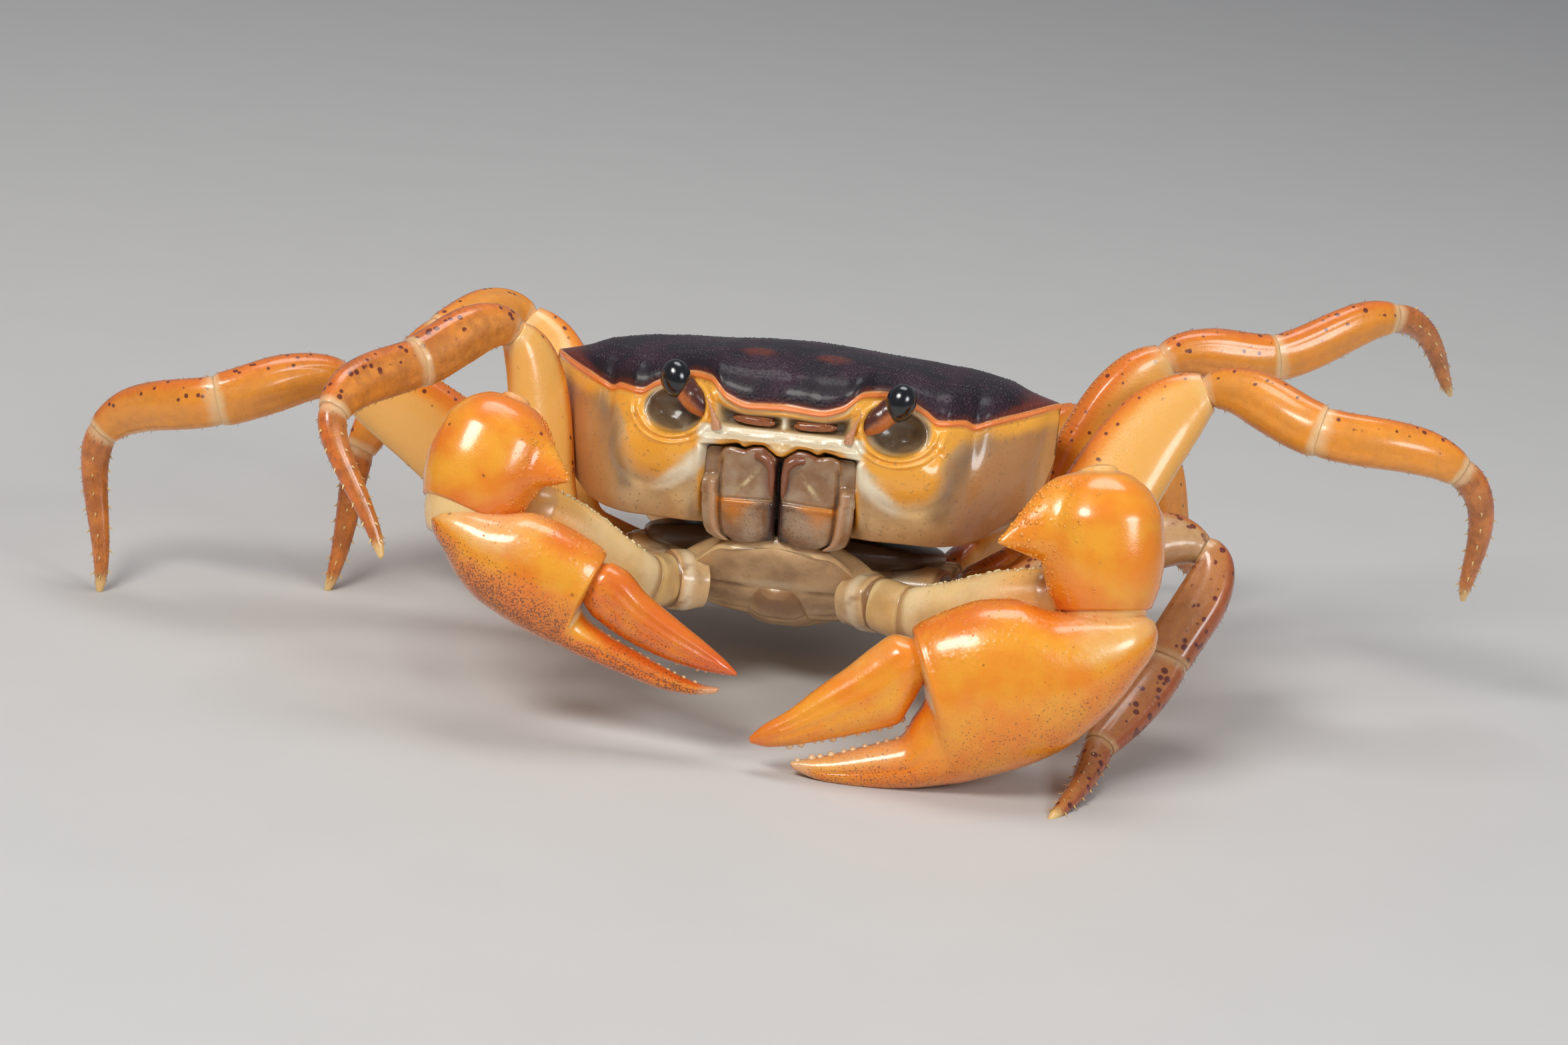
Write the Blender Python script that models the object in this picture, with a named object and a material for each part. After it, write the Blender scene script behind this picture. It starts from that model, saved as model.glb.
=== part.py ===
"""Freshwater crab of the genus Sundathelphusa, life size, standing with both claws in front of the face.

Two frames are used. The body frame has x to the crab's left, y backward and z up, with its
origin between the widest corners of the carapace. The world frame has the floor at z = 0, and
the finished crab is centred over its origin.
Lengths are in millimetres until they are written to a mesh.
"""

from math import asin, cos, degrees, pi, radians, sin

import bmesh
import bpy
import numpy as np
from mathutils import Matrix, Vector

MM = 0.001
GAP = 0.3
FLOOR_CUT = 0.12

# Pose of the body over the floor
BODY_AT = Vector((1.08, 14.69, 21.63))
BODY_YAW = -8.0
BODY_PITCH = -14.0
BODY_ROLL = -1.8

# Carapace
HALF_WIDTH = 19.0
UNDERSIDE_Z = -11.2
MOUTH_HALF = 5.7

# Eyes
EYE_AT = Vector((8.2, -13.0, -1.0))
EYE_RADII = Vector((1.05, 1.05, 1.3))
ORBIT_AT = Vector((8.3, -13.7, -2.9))
ORBIT_RADII = Vector((2.75, 2.5, 2.25))

# Walking legs, front pair first: length of ischium, merus, carpus, propodus and dactyl
LEG_LENGTHS = (
    (5.0, 15.2, 9.0, 9.2, 10.9),
    (5.4, 19.8, 9.8, 10.8, 12.4),
    (5.0, 18.8, 9.0, 10.8, 11.4),
    (3.5, 14.5, 7.5, 9.5, 9.0),
)
MERUS_BREADTH = (0.72, 1.0, 0.94, 0.75)
LEG_BREADTH = (0.95, 1.0, 0.96, 0.82)
# End of each coxa in the body frame, on the crab's left
COXA_ENDS = (
    Vector((8.0, -9.8, -15.8)),
    Vector((12.2, -5.6, -14.9)),
    Vector((12.7, 0.2, -15.0)),
    Vector((12.4, 5.4, -14.8)),
    Vector((10.2, 9.6, -14.2)),
)
COXA_ROOT_X = 5.5
COXA_SLANT = (1.4, 1.0, 0.0, -0.6, -1.2)
JOINT_BIAS = 0.58
DACTYL_BOW = 0.5
COXA_RADII = (2.5, 2.05, 2.1, 2.0, 1.7)
# World azimuth and elevation of each segment in degrees. ON_FLOOR drops the dactyl to the floor.
ON_FLOOR = None
LEG_POSES = {
    "leg1_r": ((-158, 26), (163, 69), (-136, -8), (-123, -13), (-39, -58)),
    "leg2_r": ((178, 17), (177, 29), (-157, -9), (157, -24), (-75, ON_FLOOR)),
    "leg3_r": ((177, 20), (117, 40), (-131, -1), (-150, -54), (-110, ON_FLOOR)),
    "leg4_r": ((110, 14), (105, 30), (130, -5), (150, -48), (95, ON_FLOOR)),
    "leg1_l": ((-31, 16), (14, 15), (-112, -53), (-124, -31), (-110, ON_FLOOR)),
    "leg2_l": ((-14, 22), (30, 45), (-32, -4), (4, -11), (59, -66)),
    "leg3_l": ((20, 25), (28, 56), (17, 3), (27, 16), (44, -39)),
    "leg4_l": ((45, 20), (45, 42), (30, -20), (20, -68), (60, ON_FLOOR)),
}

# Chelipeds: world points and directions
ARM_LENGTHS = {"l": (3.0, 10.9), "r": (3.0, 10.6)}
ARM_POSES = {"l": ((-45, 5), (-22, 16)), "r": ((-120, 12), (-153, 29))}
WRIST_TOP = {"l": Vector((22.0, -5.5, 22.6)), "r": Vector((-19.9, -3.0, 22.5))}
WRIST_END = {"l": Vector((23.1, -8.4, 13.2)), "r": Vector((-22.6, -6.9, 15.0))}
WRIST_HALF = {"l": (4.4, 3.9), "r": (4.2, 3.5)}
# Tooth on the inner side of each wrist: middle of its root and its point
WRIST_TOOTH = {
    "l": (Vector((18.6, -8.0, 18.1)), Vector((15.0, -10.0, 17.7))),
    "r": (Vector((-18.2, -6.2, 18.5)), Vector((-15.2, -7.7, 18.2))),
}
WRIST_TOOTH_RADIUS = {"l": 1.5, "r": 1.2}
PALM_AT = {"l": Vector((25.25, -9.8, 12.4)), "r": Vector((-22.7, -8.6, 13.3))}
PALM_AXIS = {"l": (-173.0, -21.5), "r": (-8.0, -24.8)}
PALM_LEAN = {"l": 12.0, "r": -12.0}
# Stations of each palm with its fixed finger: distance along it, lower edge, upper edge, half thickness
PALM_STATIONS = {
    "l": (
        (-1.6, -1.0, -0.1, 0.5), (-1.0, -2.0, 0.3, 1.6), (0.6, -3.3, 0.9, 2.7), (2.6, -4.8, 1.7, 3.3),
        (5.0, -6.0, 2.8, 3.8), (7.5, -6.9, 4.5, 4.1), (10.5, -7.2, 5.1, 4.2), (13.5, -7.1, 4.9, 3.8),
        (14.9, -7.0, 4.5, 3.3), (15.4, -6.9, -0.4, 2.6), (16.6, -6.7, -1.6, 2.3), (18.1, -6.4, -2.7, 2.0),
        (20.3, -5.8, -2.6, 1.7), (22.6, -4.9, -2.5, 1.3), (24.4, -3.9, -2.3, 0.9), (25.8, -2.7, -2.1, 0.3),
    ),
    "r": (
        (-2.5, 0.2, 0.8, 0.5), (-1.9, -0.4, 1.6, 1.3), (-0.4, -1.3, 2.5, 2.0), (1.6, -2.4, 3.3, 2.6),
        (3.6, -2.9, 4.5, 2.9), (6.0, -3.0, 4.95, 3.0), (8.4, -2.85, 5.0, 2.7), (9.4, -2.7, 4.7, 2.4),
        (9.85, -2.6, 0.5, 1.9), (11.0, -2.5, 0.0, 1.7), (12.4, -2.3, -0.1, 1.5), (15.0, -1.9, 0.0, 1.3),
        (17.6, -1.4, 0.1, 1.0), (19.8, -0.5, 0.4, 0.7), (21.1, 0.4, 0.9, 0.25),
    ),
}
FINGER_STATIONS = {
    "l": (
        (15.55, 0.2, 4.1, 2.0), (16.4, -0.5, 4.4, 2.1), (18.0, -1.4, 3.8, 1.9), (20.0, -1.3, 2.9, 1.7),
        (22.5, -1.2, 2.1, 1.4), (25.0, -1.1, 1.4, 1.1), (27.0, -0.7, 0.9, 0.7), (28.1, -0.1, 0.4, 0.25),
    ),
    "r": (
        (10.1, 1.0, 4.4, 1.6), (11.0, 0.6, 4.5, 1.7), (13.3, 0.7, 3.6, 1.5), (16.0, 1.1, 3.1, 1.3),
        (18.4, 1.5, 2.9, 1.0), (20.5, 1.9, 2.7, 0.65), (21.6, 2.2, 2.5, 0.25),
    ),
}

# Row of teeth on each biting edge: where it starts and ends along the claw
TOOTH_ROW = {"l": (17.2, 24.6), "r": (12.0, 18.8)}
TEETH_PER_EDGE = 7
TOOTH_RADIUS = 0.42
TOOTH_HEIGHT = 0.5
TOOTH_ROOT = 0.5
TOOTH_SHARE_OF_GAPE = 0.25
# Wrist: share of its full section along its length, and its granules as (share of length, turn from the inner side)
WRIST_PROFILE = (
    (0.0, 0.25), (0.05, 0.5), (0.18, 0.8), (0.38, 0.98), (0.6, 1.0), (0.82, 0.93), (1.0, 0.78),
)
WRIST_GRANULES = (
    (0.2, -0.2), (0.3, 0.15), (0.36, -0.4), (0.42, 0.45), (0.62, -0.35), (0.66, 0.1), (0.7, 0.5), (0.78, -0.15),
    (0.85, 0.3), (0.24, 0.6),
)
GRANULE_RADIUS = 0.32
# Spines of the dactyls of the walking legs, as (share of length, side)
DACTYL_SPINES = ((0.22, 1), (0.34, -1), (0.46, 1), (0.58, -1), (0.7, 1), (0.82, -1))
SPINE_LENGTH = 0.5
SPINE_RADIUS = 0.26

# Breadth and thickness of leg segments along their length, as half sizes of the widest leg
MERUS_PROFILE = (
    (0.0, 1.2, 1.0), (0.03, 1.65, 1.3), (0.12, 1.8, 1.4), (0.19, 1.7, 1.3), (0.27, 2.3, 1.5),
    (0.4, 3.1, 1.65), (0.58, 3.55, 1.7), (0.78, 3.3, 1.65), (0.93, 2.6, 1.5), (1.0, 1.6, 1.0),
)
CARPUS_PROFILE = (
    (0.0, 0.9, 0.8), (0.06, 1.25, 1.1), (0.25, 1.7, 1.35), (0.6, 2.1, 1.55), (0.9, 2.0, 1.5), (1.0, 1.4, 1.0),
)
PROPODUS_PROFILE = (
    (0.0, 1.0, 0.8), (0.06, 1.55, 1.15), (0.3, 1.9, 1.3), (0.65, 1.8, 1.2), (0.92, 1.4, 1.0), (1.0, 0.9, 0.7),
)
DACTYL_PROFILE = (
    (0.0, 0.7, 0.6), (0.06, 1.05, 0.85), (0.3, 0.95, 0.8), (0.55, 0.8, 0.68), (0.78, 0.6, 0.52),
    (0.93, 0.42, 0.38), (1.0, 0.22, 0.22),
)

# Colour, roughness and coat of each kind of surface
SHELL_LOOK = ((0.07, 0.025, 0.022), 0.3, 0.6)
CLAW_LOOK = ((0.86, 0.36, 0.06), 0.22, 0.8)
LEG_LOOK = ((0.9, 0.5, 0.16), 0.3, 0.6)
LEG_END_LOOK = ((0.42, 0.13, 0.05), 0.4, 0.3)
UNDERSIDE_LOOK = ((0.8, 0.62, 0.36), 0.3, 0.6)
MOUTHPART_LOOK = ((0.34, 0.25, 0.19), 0.25, 0.6)
STALK_LOOK = ((0.42, 0.13, 0.05), 0.3, 0.6)
EYE_LOOK = ((0.01, 0.01, 0.012), 0.05, 1.0)
LEG_LOOKS = (LEG_LOOK, LEG_LOOK, LEG_LOOK, LEG_END_LOOK)


def clear_scene():
    for obj in list(bpy.data.objects):
        bpy.data.objects.remove(obj, do_unlink=True)


def body_matrix():
    """Turns body coordinates into world coordinates."""
    turn = (
        Matrix.Rotation(radians(BODY_YAW), 4, "Z")
        @ Matrix.Rotation(radians(BODY_PITCH), 4, "X")
        @ Matrix.Rotation(radians(BODY_ROLL), 4, "Y")
    )
    return Matrix.Translation(BODY_AT) @ turn


BODY = body_matrix()


def on_side(point, side):
    """A body point of the crab's left, or its mirror on the right."""
    return Vector((point[0] * side, point[1], point[2]))


def direction(azimuth, elevation):
    a, e = radians(azimuth), radians(elevation)
    return Vector((cos(e) * cos(a), cos(e) * sin(a), sin(e)))


def principled(name, color, roughness, coat):
    material = bpy.data.materials.new(name)
    material.use_nodes = True
    shader = material.node_tree.nodes["Principled BSDF"]
    shader.inputs["Base Color"].default_value = (*color, 1.0)
    shader.inputs["Roughness"].default_value = roughness
    shader.inputs["Metallic"].default_value = 0.0
    shader.inputs["Coat Weight"].default_value = coat
    return material


def collection(name):
    made = bpy.data.collections.new(name)
    bpy.context.scene.collection.children.link(made)
    return made


def mesh_object(name, bm, where):
    """Writes a bmesh in millimetres to a new object in metres."""
    bmesh.ops.recalc_face_normals(bm, faces=bm.faces)
    bmesh.ops.transform(bm, matrix=Matrix.Scale(MM, 4), verts=bm.verts)
    mesh = bpy.data.meshes.new(name)
    bm.to_mesh(mesh)
    bm.free()
    obj = bpy.data.objects.new(name, mesh)
    where.objects.link(obj)
    return obj


def loft_bmesh(rings):
    """Closed solid through rings of equal count, with a flat cap at each end."""
    bm = bmesh.new()
    loops = [[bm.verts.new(point) for point in ring] for ring in rings]
    for near, far in zip(loops, loops[1:]):
        for i, _ in enumerate(near):
            j = (i + 1) % len(near)
            bm.faces.new((near[i], near[j], far[j], far[i]))
    bm.faces.new(list(reversed(loops[0])))
    bm.faces.new(loops[-1])
    return bm


def loft(name, rings, where):
    return mesh_object(name, loft_bmesh(rings), where)


def ellipsoid(name, matrix, radii, where, segments=16, rings=10):
    """Ellipsoid of three half sizes, in millimetres, put in place by a matrix."""
    bm = bmesh.new()
    bmesh.ops.create_uvsphere(bm, u_segments=segments, v_segments=rings, radius=1.0)
    bmesh.ops.transform(bm, matrix=matrix @ Matrix.Diagonal((*radii, 1.0)), verts=bm.verts)
    return mesh_object(name, bm, where)


def keep_largest(obj):
    """Leaves only the largest closed surface of a mesh."""
    bm = bmesh.new()
    bm.from_mesh(obj.data)
    left = set(bm.faces)
    shells = []
    while left:
        stack = [left.pop()]
        shell = []
        while stack:
            face = stack.pop()
            shell.append(face)
            for edge in face.edges:
                for other in edge.link_faces:
                    if other in left:
                        left.remove(other)
                        stack.append(other)
        shells.append(shell)
    shells.sort(key=lambda faces: sum(face.calc_area() for face in faces))
    scrap = [face for shell in shells[:-1] for face in shell]
    bmesh.ops.delete(bm, geom=scrap, context="FACES")
    bm.to_mesh(obj.data)
    bm.free()


def apply_boolean(obj, operation, target, solver="EXACT"):
    """Applies one Boolean with an object or a collection, and removes what it used."""
    modifier = obj.modifiers.new(operation.lower(), "BOOLEAN")
    modifier.operation = operation
    modifier.solver = solver
    if isinstance(target, bpy.types.Collection):
        modifier.operand_type = "COLLECTION"
        modifier.collection = target
        used = list(target.objects)
    else:
        modifier.object = target
        used = [target]
    graph = bpy.context.evaluated_depsgraph_get()
    joined = bpy.data.meshes.new_from_object(obj.evaluated_get(graph))
    obj.modifiers.clear()
    obj.data = joined
    for piece in used:
        bpy.data.objects.remove(piece, do_unlink=True)
    keep_largest(obj)


def swollen(obj, by, where):
    """A copy of an object grown along its normals, as the cutter that keeps a gap round it."""
    bm = bmesh.new()
    bm.from_mesh(obj.data)
    bmesh.ops.triangulate(bm, faces=bm.faces)
    bm.normal_update()
    shifts = [vert.normal * by * MM for vert in bm.verts]
    for vert, shift in zip(bm.verts, shifts):
        vert.co += shift
    mesh = bpy.data.meshes.new(obj.name + "_cutter")
    bm.to_mesh(mesh)
    bm.free()
    cutter = bpy.data.objects.new(mesh.name, mesh)
    where.objects.link(cutter)
    cutter.hide_render = True
    cutter.display_type = "WIRE"
    return cutter


def cut_clear(obj, other, where, solver="EXACT"):
    """Cuts an object back from its neighbour, so that they meet face to face with a gap."""
    apply_boolean(obj, "DIFFERENCE", swollen(other, GAP, where), solver)


def stand(obj):
    """Trims what would reach the floor to a small flat at floor level."""
    bm = bmesh.new()
    bm.from_mesh(obj.data)
    geometry = bm.verts[:] + bm.edges[:] + bm.faces[:]
    cut = bmesh.ops.bisect_plane(bm, geom=geometry, plane_co=(0, 0, 0), plane_no=(0, 0, 1), clear_inner=True)
    edges = [item for item in cut["geom_cut"] if isinstance(item, bmesh.types.BMEdge)]
    bmesh.ops.contextual_create(bm, geom=edges)
    bmesh.ops.recalc_face_normals(bm, faces=bm.faces)
    bm.to_mesh(obj.data)
    bm.free()


def spike(root, point, radius, where, sides=6, blunt=0.15):
    """Cone from its root inside a piece to its point, with a small flat at the end."""
    axis = point - root
    turn = axis.to_track_quat("Z", "Y").to_matrix().to_4x4()
    bm = bmesh.new()
    bmesh.ops.create_cone(
        bm, cap_ends=True, segments=sides, radius1=radius, radius2=radius * blunt, depth=axis.length,
        matrix=Matrix.Translation((root + point) / 2) @ turn,
    )
    mesh_object("spike", bm, where)


def fuse(obj, pieces):
    """Joins a collection of small pieces to the object they grow from."""
    apply_boolean(obj, "UNION", pieces)
    bpy.data.collections.remove(pieces)


def finish(obj, look):
    """Gives an object its own material in the colour, roughness and coat of its look."""
    obj.data.materials.clear()
    obj.data.materials.append(principled(obj.name, *look))
    obj.data.shade_smooth()
    obj.data.set_sharp_from_angle(angle=radians(40))


def smooth(x, places, values):
    """Curve through the given values that never overshoots them, level where x is nought."""
    places, values = np.array(places), np.array(values)
    x = np.clip(np.asarray(x, dtype=float), places[0], places[-1])
    steps = np.diff(places)
    rises = np.diff(values) / steps
    slopes = np.zeros_like(values)
    same_way = rises[:-1] * rises[1:] > 0
    both = np.where(same_way, rises[:-1] + rises[1:], 1.0)
    slopes[1:-1] = np.where(same_way, 2 * rises[:-1] * rises[1:] / both, 0.0)
    slopes[-1] = rises[-1]
    slopes[0] = 0.0 if places[0] == 0.0 else rises[0]
    i = np.clip(np.searchsorted(places, x, side="right") - 1, 0, len(steps) - 1)
    t = (x - places[i]) / steps[i]
    return (
        values[i] * (2 * t**3 - 3 * t**2 + 1)
        + slopes[i] * steps[i] * (t**3 - 2 * t**2 + t)
        + values[i + 1] * (3 * t**2 - 2 * t**3)
        + slopes[i + 1] * steps[i] * (t**3 - t**2)
    )


def ramp(x, low, high):
    """Nought below low, one above high, and an even S between them."""
    t = np.clip((np.asarray(x, dtype=float) - low) / (high - low), 0.0, 1.0)
    return t * t * (3 - 2 * t)


def superellipse(count, power):
    """Unit ring of points, from round at power 2 to boxy above it."""
    angles = np.arange(count) * 2 * pi / count + pi / count
    c, s = np.cos(angles), np.sin(angles)
    return np.stack((np.sign(c) * abs(c) ** (2 / power), np.sign(s) * abs(s) ** (2 / power)), axis=1)


def hermite(start, end, out, into, t):
    """Point and direction on a curve that leaves start along out and reaches end along into."""
    span = (end - start).length
    m0, m1 = out * span, into * span
    point = (
        start * (2 * t**3 - 3 * t**2 + 1)
        + m0 * (t**3 - 2 * t**2 + t)
        + end * (3 * t**2 - 2 * t**3)
        + m1 * (t**3 - t**2)
    )
    tangent = (
        start * (6 * t**2 - 6 * t)
        + m0 * (3 * t**2 - 4 * t + 1)
        + end * (6 * t - 6 * t**2)
        + m1 * (3 * t**2 - 2 * t)
    )
    return point, tangent.normalized()


def segment_rings(start, end, out, into, flat, profile, scale, sides=10, power=2.3, bow=0.0):
    """Rings of one limb segment. Its breadth lies across the path in the plane whose normal is flat."""
    start = start + out * GAP / 2
    end = end - into * GAP / 2
    ring = superellipse(sides, power)
    rings = []
    for t, breadth, thickness in profile:
        point, tangent = hermite(start, end, out, into, t)
        across = flat.cross(tangent).normalized()
        through = tangent.cross(across)
        point = point + across * bow * sin(pi * t)
        rings.append([point + across * u * breadth * scale + through * v * thickness * scale for u, v in ring])
    return rings


def coxa_ends(index, side):
    """World points of the root and the end of one coxa."""
    end = COXA_ENDS[index]
    root = Vector((COXA_ROOT_X, end.y + COXA_SLANT[index], end.z))
    return BODY @ on_side(root, side), BODY @ on_side(end, side)


def limb_path(index, side, lengths, pose):
    """Joints of one limb from its coxa out, and the direction in which it passes each."""
    root, end = coxa_ends(index, side)
    points = [end]
    directions = [(end - root).normalized()]
    for length, (azimuth, elevation) in zip(lengths, pose):
        if elevation is ON_FLOOR:
            elevation = -degrees(asin(min(1.0, (points[-1].z + FLOOR_CUT) / length)))
        directions.append(direction(azimuth, elevation))
        points.append(points[-1] + directions[-1] * length)
    tangents = [
        (near * JOINT_BIAS + far * (1 - JOINT_BIAS)).normalized()
        for near, far in zip(directions, directions[1:])
    ]
    return points, tangents + [directions[-1]]


def walking_leg(name, index, side, where):
    """Merus with its ischium, carpus, propodus and dactyl of one walking leg."""
    lengths = LEG_LENGTHS[index]
    points, tangents = limb_path(index + 1, side, lengths, LEG_POSES[name])
    flat = (points[2] - points[0]).cross(points[4] - points[0]).normalized()
    if flat.dot(Vector((0, -1, 0))) < 0:
        flat = -flat
    broad = MERUS_BREADTH[index]

    ischium_share = lengths[0] / (lengths[0] + lengths[1])
    rings = []
    for t, breadth, thickness in MERUS_PROFILE:
        if t <= ischium_share:
            span = (points[0], points[1], tangents[0], tangents[1])
            local = t / ischium_share
        else:
            span = (points[1], points[2], tangents[1], tangents[2])
            local = (t - ischium_share) / (1 - ischium_share)
        rings += segment_rings(*span, flat, ((local, breadth * broad, thickness),), 1.0)
    pieces = [loft(name + "_merus", rings, where)]
    segments = (
        ("_carpus", 2, CARPUS_PROFILE, 0.0),
        ("_propodus", 3, PROPODUS_PROFILE, 0.0),
        ("_dactyl", 4, DACTYL_PROFILE, DACTYL_BOW),
    )
    for suffix, k, profile, bow in segments:
        rings = segment_rings(
            points[k], points[k + 1], tangents[k], tangents[k + 1], flat, profile, LEG_BREADTH[index], bow=bow
        )
        pieces.append(loft(name + suffix, rings, where))
    spines = collection("spines")
    for t, edge in DACTYL_SPINES:
        middle, tangent = hermite(points[4], points[5], tangents[4], tangents[5], t)
        across = flat.cross(tangent).normalized()
        profile = np.array(DACTYL_PROFILE)
        half = float(np.interp(t, profile[:, 0], profile[:, 1])) * LEG_BREADTH[index]
        middle = middle + across * sin(pi * t) * DACTYL_BOW
        lean = (across * edge + tangent * 0.55).normalized()
        root = middle + across * edge * (half - 0.25)
        spike(root, root + lean * (SPINE_LENGTH + 0.2), SPINE_RADIUS, spines, sides=5, blunt=0.2)
    fuse(pieces[-1], spines)
    for piece, look in zip(pieces, LEG_LOOKS):
        stand(piece)
        finish(piece, look)


def front_y(a):
    """Plan outline of the front at a distance from the midline: lobes, orbit, notch and the arched side."""
    places = (0.0, 0.9, 2.6, 4.8, 6.3, 8.3, 10.2, 11.3, 12.9, 13.5, 14.3, 16.5, 18.2, 19.0)
    values = (-13.75, -13.85, -14.15, -13.9, -12.5, -11.6, -11.5, -11.5, -10.2, -9.6, -9.25, -6.9, -4.8, -3.0)
    return smooth(a, places, values)


def rear_y(a):
    return smooth(a, (0.0, 6.0, 10.0, 14.0, 17.0, 18.5, 19.0), (14.0, 13.6, 12.2, 8.6, 3.6, 0.2, -3.0))


def front_z(a):
    places = (0.0, 1.0, 2.6, 4.2, 5.65, 7.0, 8.5, 10.0, 11.0, 12.8, 13.4, 14.2, 16.5, 19.0)
    values = (-2.15, -2.2, -2.3, -1.8, -0.6, -0.45, -0.8, -1.5, -2.1, -1.9, -2.15, -1.85, -1.0, 0.0)
    return smooth(a, places, values)


def rear_z(a):
    return smooth(a, (0.0, 10.0, 15.0, 19.0), (-7.0, -6.0, -3.5, 0.0))


def dome_z(a):
    """Height of the top of the back across the width."""
    return smooth(a, (0.0, 3.0, 6.5, 10.0, 15.0, 16.7, 19.0), (2.7, 2.6, 2.25, 1.9, 1.3, 0.7, 0.1))


def lower_z(a):
    """Lower edge of the face and side wall."""
    return smooth(a, (0.0, 14.0, 16.4, 17.6, 18.3, 18.7, 19.0), (-11.2, -11.2, -9.3, -8.0, -6.9, -5.2, -3.7))


def lower_y(a):
    return smooth(a, (0.0, 5.3, 7.0, 9.4, 12.3, 15.8, 17.5, 19.0), (-9.7, -9.7, -11.0, -10.4, -9.6, -7.6, -6.0, -3.0))


def cheek_bulge(a):
    return smooth(a, (0.0, 6.2, 8.3, 11.0, 14.0, 17.0, 19.0), (2.2, 2.3, 2.5, 1.9, 1.2, 0.8, 0.0))


# Middle of the face from the frontal rim down: fossae of the antennules, epistome, mouth frame
FACE_LEVELS = (
    -11.2, -10.4, -9.5, -8.5, -7.5, -6.7, -6.1, -5.85, -5.7, -5.3, -4.9, -4.4, -4.0, -3.8, -3.45, -3.1, -2.95, -2.7,
    -2.4, -2.15,
)
MIDDLE_Y = (
    -9.7, -10.1, -10.4, -10.8, -11.1, -11.35, -11.5, -11.7, -13.8, -14.0, -13.65, -13.45, -13.35, -12.8, -12.6,
    -12.75, -13.6, -13.9, -13.95, -13.75,
)
LEVEL_PIVOT = -3.95
DORSAL_STEPS = 14
DORSAL_TOP = 0.45
REAR_WALL_STEPS = 4
UNDER_STEPS = 4
CARAPACE_STATIONS = 47


def face_y(a, z, level):
    """Depth of the face at a distance from the midline, at a height, and at that height's own level."""
    z_low, z_front = lower_z(a), front_z(a)
    share = np.clip((z - z_low) / np.maximum(z_front - z_low, 0.1), 0.0, 1.0)
    cheek = lower_y(a) + (front_y(a) - lower_y(a)) * share - cheek_bulge(a) * np.sin(pi * share)
    middle = np.interp(level, FACE_LEVELS, MIDDLE_Y) + front_y(a) * ramp(level, -2.95, -2.15)
    middle = middle - front_y(0.0) * ramp(level, -2.95, -2.15)
    half_blend = 0.2 + 0.5 * ramp(z, -5.85, -5.2)
    side = ramp(a, MOUTH_HALF - half_blend, MOUTH_HALF + half_blend)
    frame_rim = 0.35 * np.exp(-(((a - MOUTH_HALF - 0.4) / 0.3) ** 2)) * ramp(z, -11.2, -10.0) * (1 - ramp(z, -6.0, -5.0))
    radius = np.hypot((a - ORBIT_AT.x) / ORBIT_RADII.x, (z - ORBIT_AT.z) / ORBIT_RADII.z)
    orbit_rim = 0.35 * np.exp(-(((radius - 1.12) / 0.2) ** 2)) * (1 - ramp(z, z_front - 1.2, z_front - 0.4))
    return middle * (1 - side) + cheek * side - orbit_rim - frame_rim


def dorsal_relief(a, y):
    """Low swellings of the back: the two lobes behind the front, the gill regions and the neck groove."""
    lobes = 0.35 * np.exp(-(((a - 2.7) / 1.7) ** 2) - ((y + 10.6) / 1.3) ** 2)
    gills = 0.3 * np.exp(-(((a - 11.0) / 4.0) ** 2) - ((y + 1.0) / 6.0) ** 2)
    groove_y = 1.5 - 0.06 * (a - 4.0) ** 2
    groove = 0.45 * np.exp(-(((y - groove_y) / 0.9) ** 2)) * ramp(a, 1.5, 4.0) * (1 - ramp(a, 9.0, 12.0))
    return lobes + gills - groove


def carapace_grid(stations):
    """Fore-and-aft sections: up the face, over the back, down the rear wall, forward underneath."""
    x = np.asarray(stations)[:, None]
    a = abs(x)
    y_front, y_rear = front_y(a), rear_y(a)
    z_front, z_rear, z_top, z_low = front_z(a), rear_z(a), dome_z(a), lower_z(a)
    y_low = np.minimum(lower_y(a), y_rear - 0.2)

    level = np.array(FACE_LEVELS)[None, :]
    pivot = LEVEL_PIVOT + (2.1 * ramp(a, 13.0, HALF_WIDTH))
    above = (level - LEVEL_PIVOT) / (FACE_LEVELS[-1] - LEVEL_PIVOT)
    below = (level - LEVEL_PIVOT) / (FACE_LEVELS[0] - LEVEL_PIVOT)
    z = np.where(level > LEVEL_PIVOT, pivot + (z_front - pivot) * above, pivot + (z_low - pivot) * below)
    y = np.minimum(face_y(a, z, level + 0 * a), y_rear - 0.1)
    y[:, -1:] = y_front
    parts = [(x + 0 * z, y, z)]

    v = np.arange(1, DORSAL_STEPS)[None, :] / DORSAL_STEPS
    y = y_front + (y_rear - y_front) * (1 - np.cos(pi * v)) / 2
    rise = z_front + (z_top - z_front) * np.sin(pi / 2 * np.minimum(v / DORSAL_TOP, 1.0)) ** 0.8
    fall = z_rear + (z_top - z_rear) * np.cos(pi / 2 * np.clip((v - DORSAL_TOP) / (1 - DORSAL_TOP), 0.0, 1.0)) ** 0.9
    z = np.where(v < DORSAL_TOP, rise, fall) + dorsal_relief(a, y) * np.sin(pi * v) * ramp(HALF_WIDTH - a, 0.0, 3.0)
    parts.append((x + 0 * z, y, z))

    inset = 1.6 * (1 - (a / HALF_WIDTH) ** 2)
    v = np.linspace(0.0, 1.0, REAR_WALL_STEPS + 1)[None, :]
    y = y_rear + 0.5 * np.sin(pi * v) * (1 - a / HALF_WIDTH) - inset * v
    z = z_rear + (z_low - z_rear) * v
    parts.append((x + 0 * z, y, z))

    v = np.arange(1, UNDER_STEPS)[None, :] / UNDER_STEPS
    y = y_rear - inset + (y_low - y_rear + inset) * v
    parts.append((x + 0 * y, y, z_low + 0 * y))
    return np.concatenate([np.stack(part, axis=-1) for part in parts], axis=1)


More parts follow.
